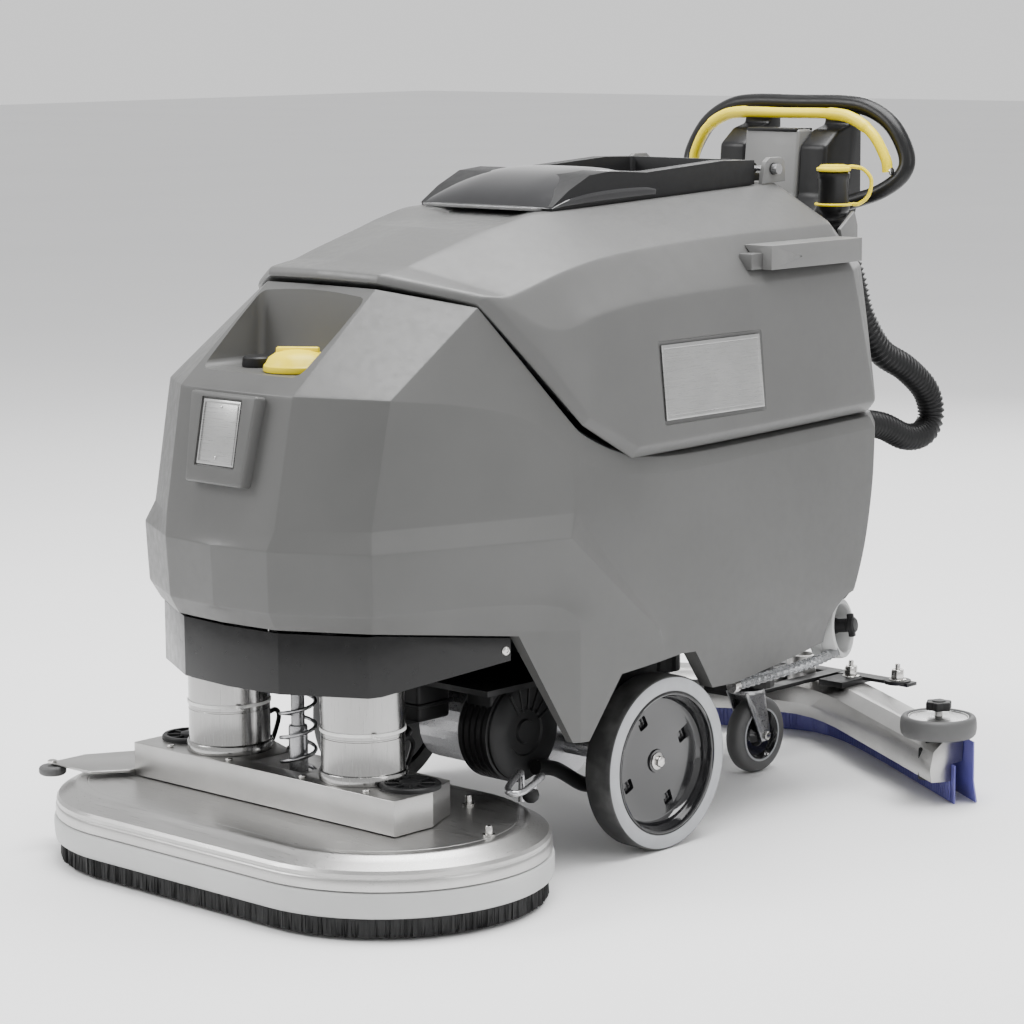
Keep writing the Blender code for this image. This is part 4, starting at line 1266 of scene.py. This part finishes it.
# ---------------------------------------------------------------- scrub deck
@dataclass
class ScrubDeck:
    """Disc deck with its bumper, skirt, motors, pressure spring and fittings.

    Attributes:
        middle: Station of the deck's long axis.
        straight: Half length of the straight part.
        radius: Radius of the round ends.
        motor_x: How far the motors stand from the middle.
        case_top: Height of the gear case's top face.
        roller: Station of the guide roller's pin, as x and y.
        tufts: Number of bristle tufts in the skirt.
    """

    middle: float = -.440
    straight: float = .180
    radius: float = .226
    motor_x: float = .136
    case_top: float = .1598
    roller: Pair = (-.387, -.565)
    tufts: int = 560

    def stadium(self, radius: float, z: float, steps: int = 32) -> list[Point]:
        """Outline of the deck at one radius and height."""
        ring = []
        for side, start in ((1, -90), (-1, 90)):
            for k in range(steps + 1):
                turn = math.radians(start + 180 * k / steps)
                ring.append((side * self.straight + radius * math.cos(turn),
                    self.middle + radius * math.sin(turn), z))
        return ring

    def housing(self) -> None:
        """Deck cover with its step, slope and flat top, the bumper round it and three fixing studs."""
        profile = ((.2165, .0665), (.2220, .0666), (.2236, .0680), (.2240, .0720), (.2238, .0800),
            (.2230, .0822), (.2222, .0832), (.2220, .0846), (.2226, .0858), (.2222, .0900), (.2190, .0945),
            (.2050, .1020), (.1980, .1058), (.1950, .1084), (.1920, .1098), (.1880, .1102), (.1780, .1102),
            (.1772, .1098), (.1764, .1102))
        cover = loft("deck_cover", [self.stadium(r, z) for r, z in profile])
        settle(cover, DECK_METAL, "scrub_deck", "deck_housing", smooth=24)
        band = loft("bumper_strip", [self.stadium(r, z) for r, z in ((.214, .0312), (.2215, .0310),
            (.2246, .0332), (.2258, .0390), (.2264, .0470), (.2266, .0550), (.2262, .0615), (.2246, .0650),
            (.2215, .0660), (.214, .0660), (.214, .0312))], closed=True)
        settle(band, BAND_GREY, "scrub_deck", "bumper_band", smooth=50)
        profile = ((.0085, 0), (.0085, .003), (.0050, .0035), (.0050, .013), (.0040, .0145), (0, .0145))
        studs = [turned("deck_stud", profile, 24, centre=(x, y, .1100)) for x,
            y in ((.214, -.318), (.350, -.420), (-.350, -.420))]
        settle(gather("deck_studs", studs), BOLT, "scrub_deck", slot="steel")

    def skirt(self) -> None:
        """Dense skirt of bristle tufts under the bumper."""
        backing = loft("skirt_backing", [self.stadium(r, z) for r, z in ((.208, .0305), (.2165, .0305),
            (.2160, .0090), (.2100, .0075), (.208, .0305))], closed=True)
        seed = random.Random(7)
        corners = [Vector(p) for p in self.stadium(self.radius - .0100, 0, 48)]
        corners.append(corners[0])
        spans = [(b - a).length for a, b in zip(corners, corners[1:])]
        total, parts = sum(spans), [backing]
        tuft = loft("tuft", [[(w * math.cos(t), w * math.sin(t), z) for t in (0, 2.09, 4.19)] for w,
            z in ((.0016, .0308), (.0030, .0050))])
        for k in range(self.tufts):
            way = total * k / self.tufts
            index = 0
            while way > spans[index]:
                way -= spans[index]
                index += 1
            spot = corners[index].lerp(corners[index + 1], way / spans[index])
            turn = Matrix.Rotation(seed.uniform(0, 6.28), 4, "Z")
            lean = Matrix.Rotation(seed.uniform(-.05, .05), 4, "X")
            centre = Vector((math.copysign(self.straight,
                spot.x) if abs(spot.x) > self.straight else spot.x, self.middle, 0))
            out = (spot - centre).normalized() * seed.uniform(-.0015, .0004)
            parts.append(duplicate(tuft, "tuft_copy", Matrix.Translation(spot + out) @ turn @ lean))
        bpy.data.objects.remove(tuft, do_unlink=True)
        settle(gather("bristle_skirt_tufts", parts), BRISTLE, "scrub_deck", "bristle_skirt", smooth=60)

    def gear_case(self) -> None:
        """Cast gear case with a raised rim, and two spoked covers on it."""
        case = refined("gear_case", "gear_case_cast", .0045, 3, 25)
        settle(case, CAST, "scrub_deck", "gear_case", smooth=40)
        for side, name in SIDES:
            spot = (side * .2235, -.4400, self.case_top)
            cover = turned("spoked_cover_" + name, [(.0420, 0), (.0420, .0050), (.0400, .0070),
                (.0350, .0070), (.0340, .0035), (.0160, .0035), (.0150, .0080), (.0110, .0095), (0, .0100)],
                48, centre=spot)
            for k in range(8):
                spoke = block("spoke", (.014, -.0014, .0030), (.0365, .0014, .0066), .0006, 1)
                combine(cover, shifted(turned_by(spoke, 45 * k, Axis.Z), *spot), "UNION")
            settle(cover, SOFT_BLACK, "scrub_deck", slot="black")
        for side, name in SIDES:
            screws = [hexagon("case_screw", .009, .004, Axis.Z, (side * x, y, self.case_top)) for x,
                y in ((.075, -.500), (.200, -.500), (.066, -.392))]
            settle(gather("case_screws_" + name, screws), BOLT, "scrub_deck", slot="steel")

    def motors(self) -> None:
        """Polished motors with seams, zip ties and cables."""
        profile = [(0, 0), (.0608, 0), (.0612, .0015), (.0612, .0120), (.0600, .0135), (.0584, .0140),
            (.0580, .0150), (.0580, .0600), (.0574, .0606), (.0574, .0622), (.0580, .0628), (.0580, .1500),
            (.0573, .1506), (.0573, .1522), (.0580, .1528), (.0580, .1850), (.0560, .1900), (.0500, .1920),
            (0, .1920)]
        for side, name in SIDES:
            spot = (side * self.motor_x, -.443, .1604)
            motor = turned("motor_can_" + name, profile, 96, centre=spot)
            settle(motor, MOTOR_STEEL, "scrub_deck", "brush_motor_" + name, smooth=40)
            tie = turned("motor_tie_" + name, [(.0579, 0), (.0594, 0), (.0594, .0045), (.0579, .0045)], 72,
                centre=(spot[0], spot[1], .228), hoop=True)
            lock = block("tie_lock", (-.004, -.0650, .0), (.004, -.0588, .0065), .0008, 2)
            shifted(turned_by(lock, 62, Axis.Z), spot[0], spot[1], .227)
            tail = block("tie_tail", (-.0018, -.0790, .0024), (.0018, -.0600, .0034), .0003, 1)
            shifted(turned_by(tail, 62, Axis.Z), spot[0], spot[1], .227)
            settle(gather("motor_tie_" + name, [tie, lock, tail]), NYLON, "scrub_deck", slot="band_grey")
            cable = [(spot[0] + .020, -.3850, .2050), (spot[0] + .020, -.3720, .2060),
                (spot[0] + .012, -.3600, .1900), (spot[0] - .006, -.3600, .1500),
                (spot[0] - .020, -.3660, .1300), (spot[0] - .020, -.3850, .1240)]
            settle(rod("motor_cable_" + name, smooth_route(cable, 8), .0036, 10), SOFT_BLACK, "scrub_deck",
                slot="black")

    def pressure(self) -> None:
        """Pressure spring that the deck squeezes, and the plunger in it."""
        turns, steps, low, high = 7, 24, .1223, .3262
        count = turns * steps
        coil = []
        for k in range(count + 1):
            share = k / count
            rise = min(max((share - .08) / .84, 0), 1)
            angle = 2 * math.pi * turns * share
            coil.append((.0245 * math.cos(angle), -.437 + .0245 * math.sin(angle),
                low + .0006 + (high - low - .0012) * (rise * .95 + share * .05)))
        spring = rod("pressure_coil", coil, .0028, 10)
        settle(spring, ZINC, "chassis", "pressure_spring", smooth=60)
        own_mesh(spring)
        plunger = turned("pressure_rod", [(0, 0), (.0135, 0), (.0135, .0900), (.0128, .0935),
            (.0100, .0945), (.0095, .0960), (.0095, .2230), (.0085, .2250), (0, .2250)], 32,
            centre=(0, -.437, .1185))
        settle(plunger, ZINC, "scrub_deck", "pressure_plunger")

    def fittings(self) -> None:
        """Guide roller on its ear plate and the brush release rod."""
        plate = refined("roller_plate", "ear_plate", .0012, 2, 20)
        settle(plate, CAST, "scrub_deck", "roller_plate")
        roller = turned("nose_roller", [(0, .0130), (.0060, .0130), (.0070, .0120), (.0165, .0130),
            (.0190, .0112), (.0200, .0090), (.0200, .0040), (.0190, .0018), (.0165, 0), (0, 0)], 48,
            centre=(*self.roller, .1024))
        settle(roller, WHEEL_GREY, "roller", "guide_roller")
        pin = turned("roller_pin", [(.0070, 0), (.0070, .0030), (.0050, .0040), (0, .0042)], 24,
            centre=(*self.roller, .1199))
        settle(pin, BOLT, "scrub_deck", slot="steel")
        path = [(.262, -.262, .1130), (.262, -.262, .1480), (.270, -.276, .1560), (.300, -.330, .1500),
            (.318, -.340, .1480), (.322, -.322, .1480), (.300, -.262, .1540), (.290, -.262, .1480),
            (.285, -.268, .1240)]
        lever = rod("release_rod", smooth_route(path, 10), .0048, 16)
        settle(lever, ZINC, "release_lever", "brush_release_lever", smooth=60)
        ball = turned("release_ball", [(0, .0110), (.0060, .0100), (.0104, .0062), (.0122, 0),
            (.0104, -.0062), (.0060, -.0100), (0, -.0110)], 32, centre=(.285, -.268, .127))
        settle(ball, SOFT_BLACK, "release_lever", slot="black")

    def build(self) -> None:
        """Make every piece of the deck."""
        self.housing()
        self.skirt()
        self.gear_case()
        self.motors()
        self.pressure()
        self.fittings()
        dress(BRISTLE, "disc_brush_left", "disc_brush_right")


# ---------------------------------------------------------------- running gear
@dataclass
class RunningGear:
    """Drive wheels, casters, lift arms, drum housing and axle.

    Attributes:
        wheel_x: How far the drive wheels stand from the middle.
        axle_z: Height of the drive axle.
        caster: Middle of the left caster wheel.
    """

    wheel_x: float = .280
    axle_z: float = .127
    caster: Point = (.097, .455, .061)

    def drive_wheels(self) -> None:
        """Tyres with a light ring, and glossy dished hubs."""
        at = (self.wheel_x, 0, self.axle_z)
        tyre = turned("drive_tread", [(.1035, -.0236), (.1210, -.0238), (.1252, -.0222), (.1268, -.0180),
            (.1270, -.0100), (.1270, .0150), (.1266, .0200), (.1256, .0228), (.1244, .0236),
            (.1035, .0236)], 128, Axis.X, at, hoop=True)
        settle_pair(tyre, TYRE, "drive_wheel", "drive_tyre", smooth=32)
        ring = turned("drive_ring", [(.1050, .0230), (.1050, .0241), (.1056, .0243), (.1232, .0243),
            (.1242, .0237), (.1242, .0230)], 128, Axis.X, at, hoop=True)
        settle_pair(ring, TREAD_RING, "drive_wheel", slot="rubber")
        hub = turned("drive_dish", [(0, -.020), (.098, -.020), (.1034, -.0190), (.1034, .0228),
            (.1028, .0240), (.1008, .0244), (.0990, .0236), (.0975, .0200), (.0962, .0120), (.0940, .0040),
            (.0905, .0002), (.0860, -.0010), (.0600, .0004), (.0290, .0014), (.0175, .0018), (.0165, .0044),
            (0, .0044)], 128, Axis.X, at)
        for turn in (25, 115, 205, 295):
            slot = block("slot_cutter", (.0, -.009, .056), (.012, .009, .074), .003, 3)
            turned_by(shifted(slot, -.0080, 0, 0), turn, Axis.X)
            combine(hub, shifted(slot, *at))
        settle_pair(hub, PIANO_BLACK, "drive_wheel", "drive_hub", smooth=28)
        x, y, z = at
        washer = turned("hub_washer", [(.0125, 0), (.0125, .0016), (.0116, .0022), (0, .0022)], 40, Axis.X,
            (x + .0042, y, z))
        bolt = soften(hexagon("hub_bolt_head", .0150, .0070, Axis.X, (x + .0062, y, z)), .0008, 2, 30)
        settle_pair(gather("hub_bolt", [washer, bolt]), BOLT, "drive_wheel", slot="steel")

    def casters(self) -> None:
        """Pressed forks with their nuts, dark wheels with a thin light ring."""
        at = self.caster
        fork = refined("caster_fork_left", "caster_yoke", .0014, 2, 25)
        settle_pair(fork, ZINC, "caster_swivel", "caster_fork")
        tread = turned("caster_tread", [(.0400, -.0132), (.0520, -.0138), (.0570, -.0122), (.0598, -.0085),
            (.0610, -.0030), (.0610, .0030), (.0598, .0085), (.0570, .0122), (.0520, .0138),
            (.0400, .0132)], 72, Axis.X, at, hoop=True)
        settle_pair(tread, WHEEL_GREY, "caster_roll", "caster_wheel", smooth=50)
        dish = turned("caster_dish", [(0, -.0130), (.0405, -.0130), (.0405, .0140), (.0385, .0142),
            (.0370, .0120), (.0340, .0060), (.0200, .0050), (.0140, .0120), (.0130, .0142), (0, .0142)], 72,
            Axis.X, at)
        settle_pair(dish, PIANO_BLACK, "caster_roll", slot="rubber")
        rim = turned("caster_rim", [(.0396, .0130), (.0396, .0146), (.0424, .0146), (.0424, .0130)], 72,
            Axis.X, at, hoop=True)
        settle_pair(rim, TREAD_RING, "caster_roll", slot="rubber")
        x, y, z = at
        height, nuts = .0060, []
        for start, slide in ((.0210, 0), (-.0210, -height)):
            nut = shifted(hexagon("caster_nut", .0130, height, Axis.X, (x + start, y, z)), slide, 0, 0)
            nuts.append(soften(nut, .0006, 1, 30))
        settle_pair(gather("caster_nuts", nuts), BOLT, "caster_swivel", slot="steel")

    def drum(self) -> None:
        """Ribbed drum housing with a mounting box, and the black box behind the apron."""
        profile = [(0, 0), (.0640, 0), (.0700, .0030)]
        for k in range(5):
            low = .008 + k * .0115
            profile += [(.0738, low), (.0738, low + .0070), (.0705, low + .0080), (.0705, low + .0105)]
        profile += [(.0700, .0660), (.0640, .0700), (.0350, .0700), (.0330, .0670), (.0180, .0670),
            (.0160, .0710), (0, .0710)]
        drum = turned("ribbed_drum", profile, 96, Axis.X, (.120, -.175, .186))
        box = block("drum_box", (.130, -.235, .215), (.180, -.120, .2614), .004, 3)
        for k in range(6):
            rib = block("drum_rib", (.1895, -.0016, .030), (.1925, .0016, .066), .0005, 1)
            turned_by(rib, -60 + 18 * k, Axis.X)
            box = gather("drum_box", [box, shifted(rib, 0, -.175, .186)])
        settle(gather("ribbed_drum", [drum, box]), SOFT_BLACK, "chassis", "drive_gear_housing")
        tray = block("control_box", (-.090, -.300, .205), (.100, -.235, .262), .006, 3)
        lid = block("control_lid", (-.094, -.304, .226), (.104, -.231, .232), .002, 2)
        settle(gather("lift_box", [tray, lid]), SOFT_BLACK, "chassis", slot="black")

    def build(self) -> None:
        """Make the whole running gear."""
        self.drive_wheels()
        self.casters()
        self.drum()
        for side, name in SIDES:
            arm = [(side * .205, -.172, .136), (side * .206, -.130, .126), (side * .206, -.075, .095),
                (side * .206, -.040, .090), (side * .206, -.020, .105)]
            settle(rod("swan_arm_" + name, smooth_route(arm, 10), .011, 20), BLACK, "arm_" + name,
                "lift_arm_" + name, smooth=60)
        dress(PAINTED, "chassis_frame", "suction_motor")
        dress(SOFT_BLACK, "battery_pack", "solution_pump")
        dress(ZINC, "drive_axle")


# ---------------------------------------------------------------- squeegee
@dataclass
class SqueegeeUnit:
    """V squeegee with its bar, blades, bumper wheels, knobs, arm and fixings.

    Attributes:
        reach: How far behind the axle the tips' line would cross the middle.
        slope: How fast each half runs forward.
        bend: Roundness of the V in the middle.
        bumper: Middle of the left bumper wheel.
        ribs: Number of ribs on the front blade.
    """

    reach: float = .790
    slope: float = .63
    bend: float = .045
    bumper: Point = (.425, .490, .1175)
    ribs: int = 150

    def line(self, x: float) -> tuple[float, float]:
        """Station of the squeegee's line at x, and its slope there."""
        root = math.hypot(self.slope * x, self.bend)
        return self.reach - root, -self.slope ** 2 * x / root

    def blades(self) -> None:
        """Ribbed front blade and smooth rear blade."""
        front = node_copy("front_blade", "ribbed_front_blade")
        rib = block("blade_rib", (-.0014, -.0008, .0030), (.0014, .0010, .0480), .0004, 1)
        parts = [front]
        for k in range(self.ribs):
            x = -.452 + .904 * k / (self.ribs - 1)
            y, slope = self.line(x)
            size = math.hypot(1, slope)
            place = Matrix.Translation((x + .0120 * slope / size, y - .0120 / size, 0))
            parts.append(duplicate(rib, "rib_copy", place @ Matrix.Rotation(math.atan(slope), 4, "Z")))
        bpy.data.objects.remove(rib, do_unlink=True)
        settle(gather("ribbed_front_blade", parts), BLADE, "squeegee", "front_blade")
        rear = refined("rear_blade", "flared_rear_blade", .0006, 2, 30)
        settle(rear, BLADE, "squeegee", "rear_blade", smooth=50)

    def bar(self) -> None:
        """Cast bar, with black brackets under the bumper wheels and a lip along its back."""
        bar = refined("squeegee_bar", "cast_bar", .0020, 2, 28, 4.0)
        settle(bar, CAST, "squeegee", "squeegee_bar", smooth=40)
        arm = refined("squeegee_arm", "lift_strap", .0010, 2, 30, 2.0)
        settle(arm, PAINTED, "squeegee", "squeegee_arm")
        x, y, _ = self.bumper
        for side, name in SIDES:
            bracket = block("bumper_bracket_" + name, (side * x - .0205, y - .0240, .0340),
                (side * x + .0205, y + .0005, .0840), .003, 3)
            foot = block("bracket_cap", (side * x - .0150, y - .0140, .0800),
                (side * x + .0150, y + .0140, .1000), .003, 3)
            settle(gather("bumper_bracket_" + name, [bracket, foot]), SOFT_BLACK, "squeegee", slot="black")
            studs = []
            for sx, sy, low in ((side * .169, .733, .1130), (side * .083, .722, .1090)):
                spot = (sx, sy, low)
                washer = turned("washer", [(.0145, 0), (.0145, .0018), (.0136, .0024), (0, .0024)], 32,
                    centre=spot)
                nut = soften(hexagon("stud_nut", .0196, .0165, Axis.Z, (sx, sy, low + .0015)), .0010, 2, 30)
                tip = turned("stud_tip", [(.0042, 0), (.0042, .0080), (.0034, .0092), (0, .0092)], 20,
                    centre=(sx, sy, low + .0175))
                studs += [washer, nut, tip]
            settle(gather("squeegee_nuts_" + name, studs), BOLT, "squeegee", slot="steel")

    def bumpers(self) -> None:
        """Bumper wheels with bright discs under black star knobs."""
        at = self.bumper
        tyre = turned("bumper_tread", [(.0445, -.0122), (.0500, -.0152), (.0540, -.0146), (.0568, -.0112),
            (.0580, -.0040), (.0580, .0050), (.0570, .0116), (.0545, .0150), (.0505, .0162), (.0478, .0152),
            (.0468, .0128), (.0445, .0126)], 72, Axis.Z, at, hoop=True)
        settle_pair(tyre, WHEEL_GREY, "bumper", "bumper_wheel", smooth=50)
        disc = turned("bumper_disc", [(.0066, -.0118), (.0446, -.0118), (.0466, .0126), (.0460, .0142),
            (.0446, .0142), (.0430, .0126), (.0160, .0146), (.0066, .0150)], 72, Axis.Z, at, hoop=True)
        settle_pair(disc, BRUSHED, "bumper", slot="grey_rubber")
        star = refined("star_knob_left", "star_grip", .0022, 3, 30)
        boss = turned("star_boss", [(.0110, 0), (.0100, .0016), (.0060, .0024), (0, .0026)], 32,
            centre=(at[0], at[1], .1548))
        settle_pair(gather("star_grip", [star, boss]), SOFT_BLACK, "bumper_knob", "star_knob", smooth=45)

    def build(self) -> None:
        """Make the whole squeegee."""
        self.bar()
        self.blades()
        self.bumpers()
        dress(PAINTED, "squeegee_carrier")


@dataclass
class LevelLine:
    """Grey drain collar with its black tap, and the clear level tube that runs to it.

    Attributes:
        foot: Middle of the collar's inner end.
        tilt: Turn about X in degrees.
        swing: Turn about Z in degrees.
    """

    foot: Point = (.240, .430, .251)
    tilt: float = 83
    swing: float = 106.4

    def laid(self, obj: Piece) -> Piece:
        """Turn a piece made about the Z axis to the collar's axis."""
        turn = (Matrix.Rotation(math.radians(self.swing), 4, "Z")
                @ Matrix.Rotation(math.radians(self.tilt), 4, "X"))
        return moved(obj, Matrix.Translation(self.foot) @ turn)

    def build(self) -> None:
        """Make the collar, its dark inside, the tap and the tube."""
        collar = turned("collar_ring", [(.0365, 0), (.0448, 0), (.0460, .0015), (.0460, .0180),
            (.0454, .0186), (.0454, .0205), (.0460, .0212), (.0460, .0380), (.0450, .0410), (.0430, .0422),
            (.0385, .0422), (.0370, .0405), (.0365, .0380)], 96, hoop=True)
        settle(self.laid(collar), BAND_GREY, "chassis", "drain_collar", smooth=40)
        plug = turned("collar_plug", [(0, .0040), (.0362, .0040), (.0362, .0120), (.0300, .0130),
            (.0290, .0100), (0, .0100)], 64)
        settle(self.laid(plug), SOFT_BLACK, "chassis", slot="black")
        body = turned("tap_body", [(0, .008), (.0120, .008), (.0125, .030), (.0105, .034), (.0105, .050),
            (.0125, .052), (.0125, .060), (.0100, .0625), (0, .0630)], 32)
        wing = block("tap_wing", (-.0045, -.0180, .0500), (.0045, .0180, .0600), .002, 2)
        spout = turned("tap_spout", [(0, 0), (.0090, 0), (.0090, .0260), (.0105, .0270), (.0105, .0330),
            (0, .0330)], 28)
        tap = gather("drain_tap", [body, wing, turned_by(spout, 90, Axis.X)])
        shifted(tap, 0, .004, 0)
        settle(self.laid(tap), SOFT_BLACK, "chassis", slot="black")
        path = smooth_route([(.246, .215, .196), (.252, .260, .200), (.262, .330, .206), (.274, .385, .214),
            (.288, .415, .226)], 24)
        waves = 22
        tube = rod("level_tube", path, lambda share: .0080 + .0007 * math.cos(2 * math.pi * waves * share), 20)
        settle(tube, SMOKED, "chassis", slot="black", smooth=60)
        nut = turned("tube_nuts", [(.0098, -.006), (.0104, -.004), (.0104, .004), (.0098, .006)], 24,
            Axis.Y, (.2465, .219, .1965))
        settle(nut, BOLT, "chassis", slot="steel")


# ---------------------------------------------------------------- top of the machine
@dataclass
class TankLid:
    """Hinged lid with a glossy dome in front of its tray, and its brackets.

    Attributes:
        roof: Height of the roof at the axle's station.
        rise: How fast the roof rises to the rear.
        tops: Station and top height of the dome's sections.
    """

    roof: float = .9121
    rise: float = .0394
    tops: tuple[Pair, ...] = ((-.052, .9160), (-.040, .9290), (-.018, .9440), (.020, .9590), (.060, .9650),
                              (.100, .9660), (.135, .9640), (.160, .9600), (.176, .9520))

    def dome(self) -> None:
        """Glossy dome with a raised middle and sweeping sides."""
        rings = []
        for y, top in self.tops:
            base = self.roof + self.rise * y + .0035
            half = [(.1318, base), (.1322, base + (top - base) * .30), (.1180, base + (top - base) * .66),
                (.0960, base + (top - base) * .84), (.0780, base + (top - base) * .92),
                (.0600, base + (top - base) * .98), (.0300, top)]
            rings.append([(x, y, z) for x, z in half] + [(-x, y, z) for x, z in half[::-1]])
        dome = rounded(soften(loft("lid_dome", rings), .0015, 1, 30), 2)
        settle(dome, PIANO_BLACK, "lid", slot="black", smooth=50)

    def rails(self) -> None:
        """Side rails and tray, the cross bars in front of the tray, and the clear strip in front."""
        rails = refined("tank_lid", "lid_rails", .0032, 3, 22, 3.0)
        settle(rails, SOFT_BLACK, "lid", "tank_lid", smooth=40)
        bars = []
        for k in range(3):
            y = .178 + k * .020
            bars.append(block("tray_bar", (-.100, y, .9420 - k * .0008), (.100, y + .009,
                .9465 - k * .0008), .0015, 2))
        settle(gather("tray_bars", bars), SOFT_BLACK, "lid", slot="black")
        window = block("clear_strip", (-.112, -.066, .9108), (.112, -.046, .9150), .0008, 2)
        settle(window, CLEAR, "lid", slot="black")

    def brackets(self) -> None:
        """Grey hinge brackets with dark bolts, and the hinge rod."""
        for side, name in SIDES:
            bracket = refined("lid_bracket_" + name, "hinge_bracket_" + name, .0018, 3, 25)
            settle(bracket, PANEL_GREY, "chassis", "lid_bracket_" + name)
            bolt = turned("hinge_bolt_" + name, [(.0086, 0), (.0092, .0010), (.0080, .0018), (.0064, .0010),
                (.0060, .0034), (.0030, .0042), (0, .0042)], 32, Axis.X)
            settle(shifted(faced(bolt, side), side * .1398, .438, .951), BLACK, "chassis", slot="black")
        dress(ZINC, "lid_hinge_pin")

    def build(self) -> None:
        """Make the whole lid."""
        self.rails()
        self.dome()
        self.brackets()


@dataclass
class OperatorEnd:
    """Loop handle with its bail, uprights, console, and the fin behind the tank.

    Attributes:
        loop: Half of the grip's centreline, from the middle of its top.
        bail: Half of the bail's centreline.
        upright: Side outline of an upright, as y and z.
        console: Side outline of the console.
    """

    loop: tuple[Point, ...] = (
        (0, .682, 1.042), (.092, .682, 1.042), (.142, .681, 1.034), (.187, .679, 1.008), (.216, .675, .964),
        (.214, .667, .934), (.184, .655, .909), (.142, .643, .893), (.1068, .632, .883))
    bail: tuple[Point, ...] = (
        (0, .648, 1.027), (.092, .648, 1.027), (.134, .648, 1.019), (.170, .649, .996), (.193, .651, .960),
        (.196, .653, .939))
    upright: tuple[Pair, ...] = (
        (.560, .780), (.652, .780), (.704, .900), (.704, 1.020), (.692, 1.040), (.673, 1.040), (.673, 1.010),
        (.642, 1.002), (.610, .978), (.604, .900), (.560, .850))
    console: tuple[Pair, ...] = (
        (.5575, .620), (.640, .620), (.690, .900), (.690, .985), (.640, 1.003), (.610, 1.003), (.600, .900),
        (.5575, .840))

    @staticmethod
    def both_halves(half: Sequence[Point]) -> list[Point]:
        """Run of a half line and its mirror image, from the right end to the left end."""
        return [(-x, y, z) for x, y, z in half[:0:-1]] + list(half)

    def handle(self) -> None:
        """Black grip loop on two uprights."""
        def thick(share: float) -> float:
            """Radius of the grip, fuller towards the middle."""
            swell = .5 - .5 * math.cos(2 * math.pi * share)
            return .0118 + .0018 * min(1, 1.6 * swell)

        grip = rod("grip_loop", smooth_route(self.both_halves(self.loop), 12), thick, 28)
        parts = [grip]
        for side, _ in SIDES:
            low, high = sorted((side * .0545, side * .1080))
            leg = prism("handle_leg", self.upright, low, high, Axis.X)
            parts.append(soften(leg, .0060, 3, 20))
        settle(gather("grip_and_uprights", parts), BLACK, "chassis", "handle_frame", smooth=40)

    def lever(self) -> None:
        """Chunky yellow bail with thumb steps and its pivot screws."""
        def thick(share: float) -> float:
            """Radius of the bail, with a step under each thumb."""
            away = abs(share - .5)
            step = .0012 if .09 < away < .26 else 0
            return .0084 + step

        bail = rod("yellow_bail", smooth_route(self.both_halves(self.bail), 12), thick, 24)
        settle(bail, YELLOW, "bail", "drive_bail", smooth=50)
        for side, name in SIDES:
            screw = turned("bail_screw_" + name, [(.0062, 0), (.0060, .0018), (.0044, .0026), (0, .0028)],
                28, Axis.X)
            settle(shifted(faced(screw, side), side * .2028, .653, .9400), BOLT, "bail", slot="steel")

    def panel(self) -> None:
        """Console with its dark top strip, knob, key and stop button."""
        box = soften(prism("console_box", self.console, -.054, .054, Axis.X), .0050, 3, 20)
        settle(box, PANEL_GREY, "chassis", "control_console", smooth=40)
        strip = block("console_strip", (-.050, .6080, .9990), (.050, .6500, 1.0045), .0015, 2)
        settle(strip, SOFT_BLACK, "chassis", slot="black")
        for node, name, rounding, finish, body in (
                ("programme_knob", "fluted_knob", (.0010, 2, 25), SOFT_BLACK, "programme_selector"),
                ("key_switch", "key_barrel", (.0006, 2, 25), ZINC, "key"),
                ("stop_button", "stop_mushroom", (.0012, 3, 20), RED, "stop")):
            settle(refined(node, name, *rounding), finish, body, node)
        fin = prism("rear_fin", [(.512, .858), (.548, .884), (.556, .862), (.556, .800), (.530, .806)],
            .206, .213, Axis.X)
        settle(soften(fin, .0015, 2, 20), PANEL_GREY, "chassis", slot="body_grey")

    def build(self) -> None:
        """Make the whole operator end."""
        self.handle()
        self.lever()
        self.panel()


# ---------------------------------------------------------------- assembly
def main() -> None:
    """Build the studio and every sub-assembly in order."""
    logging.basicConfig(level=logging.INFO, format="%(name)s: %(message)s")
    for assembly in (Studio(), DrainLine(), LowerBody(), RecoveryTank(), ScrubDeck(), RunningGear(),
                     SqueegeeUnit(), LevelLine(), TankLid(), OperatorEnd()):
        assembly.build()


if __name__ == "__main__":
    main()
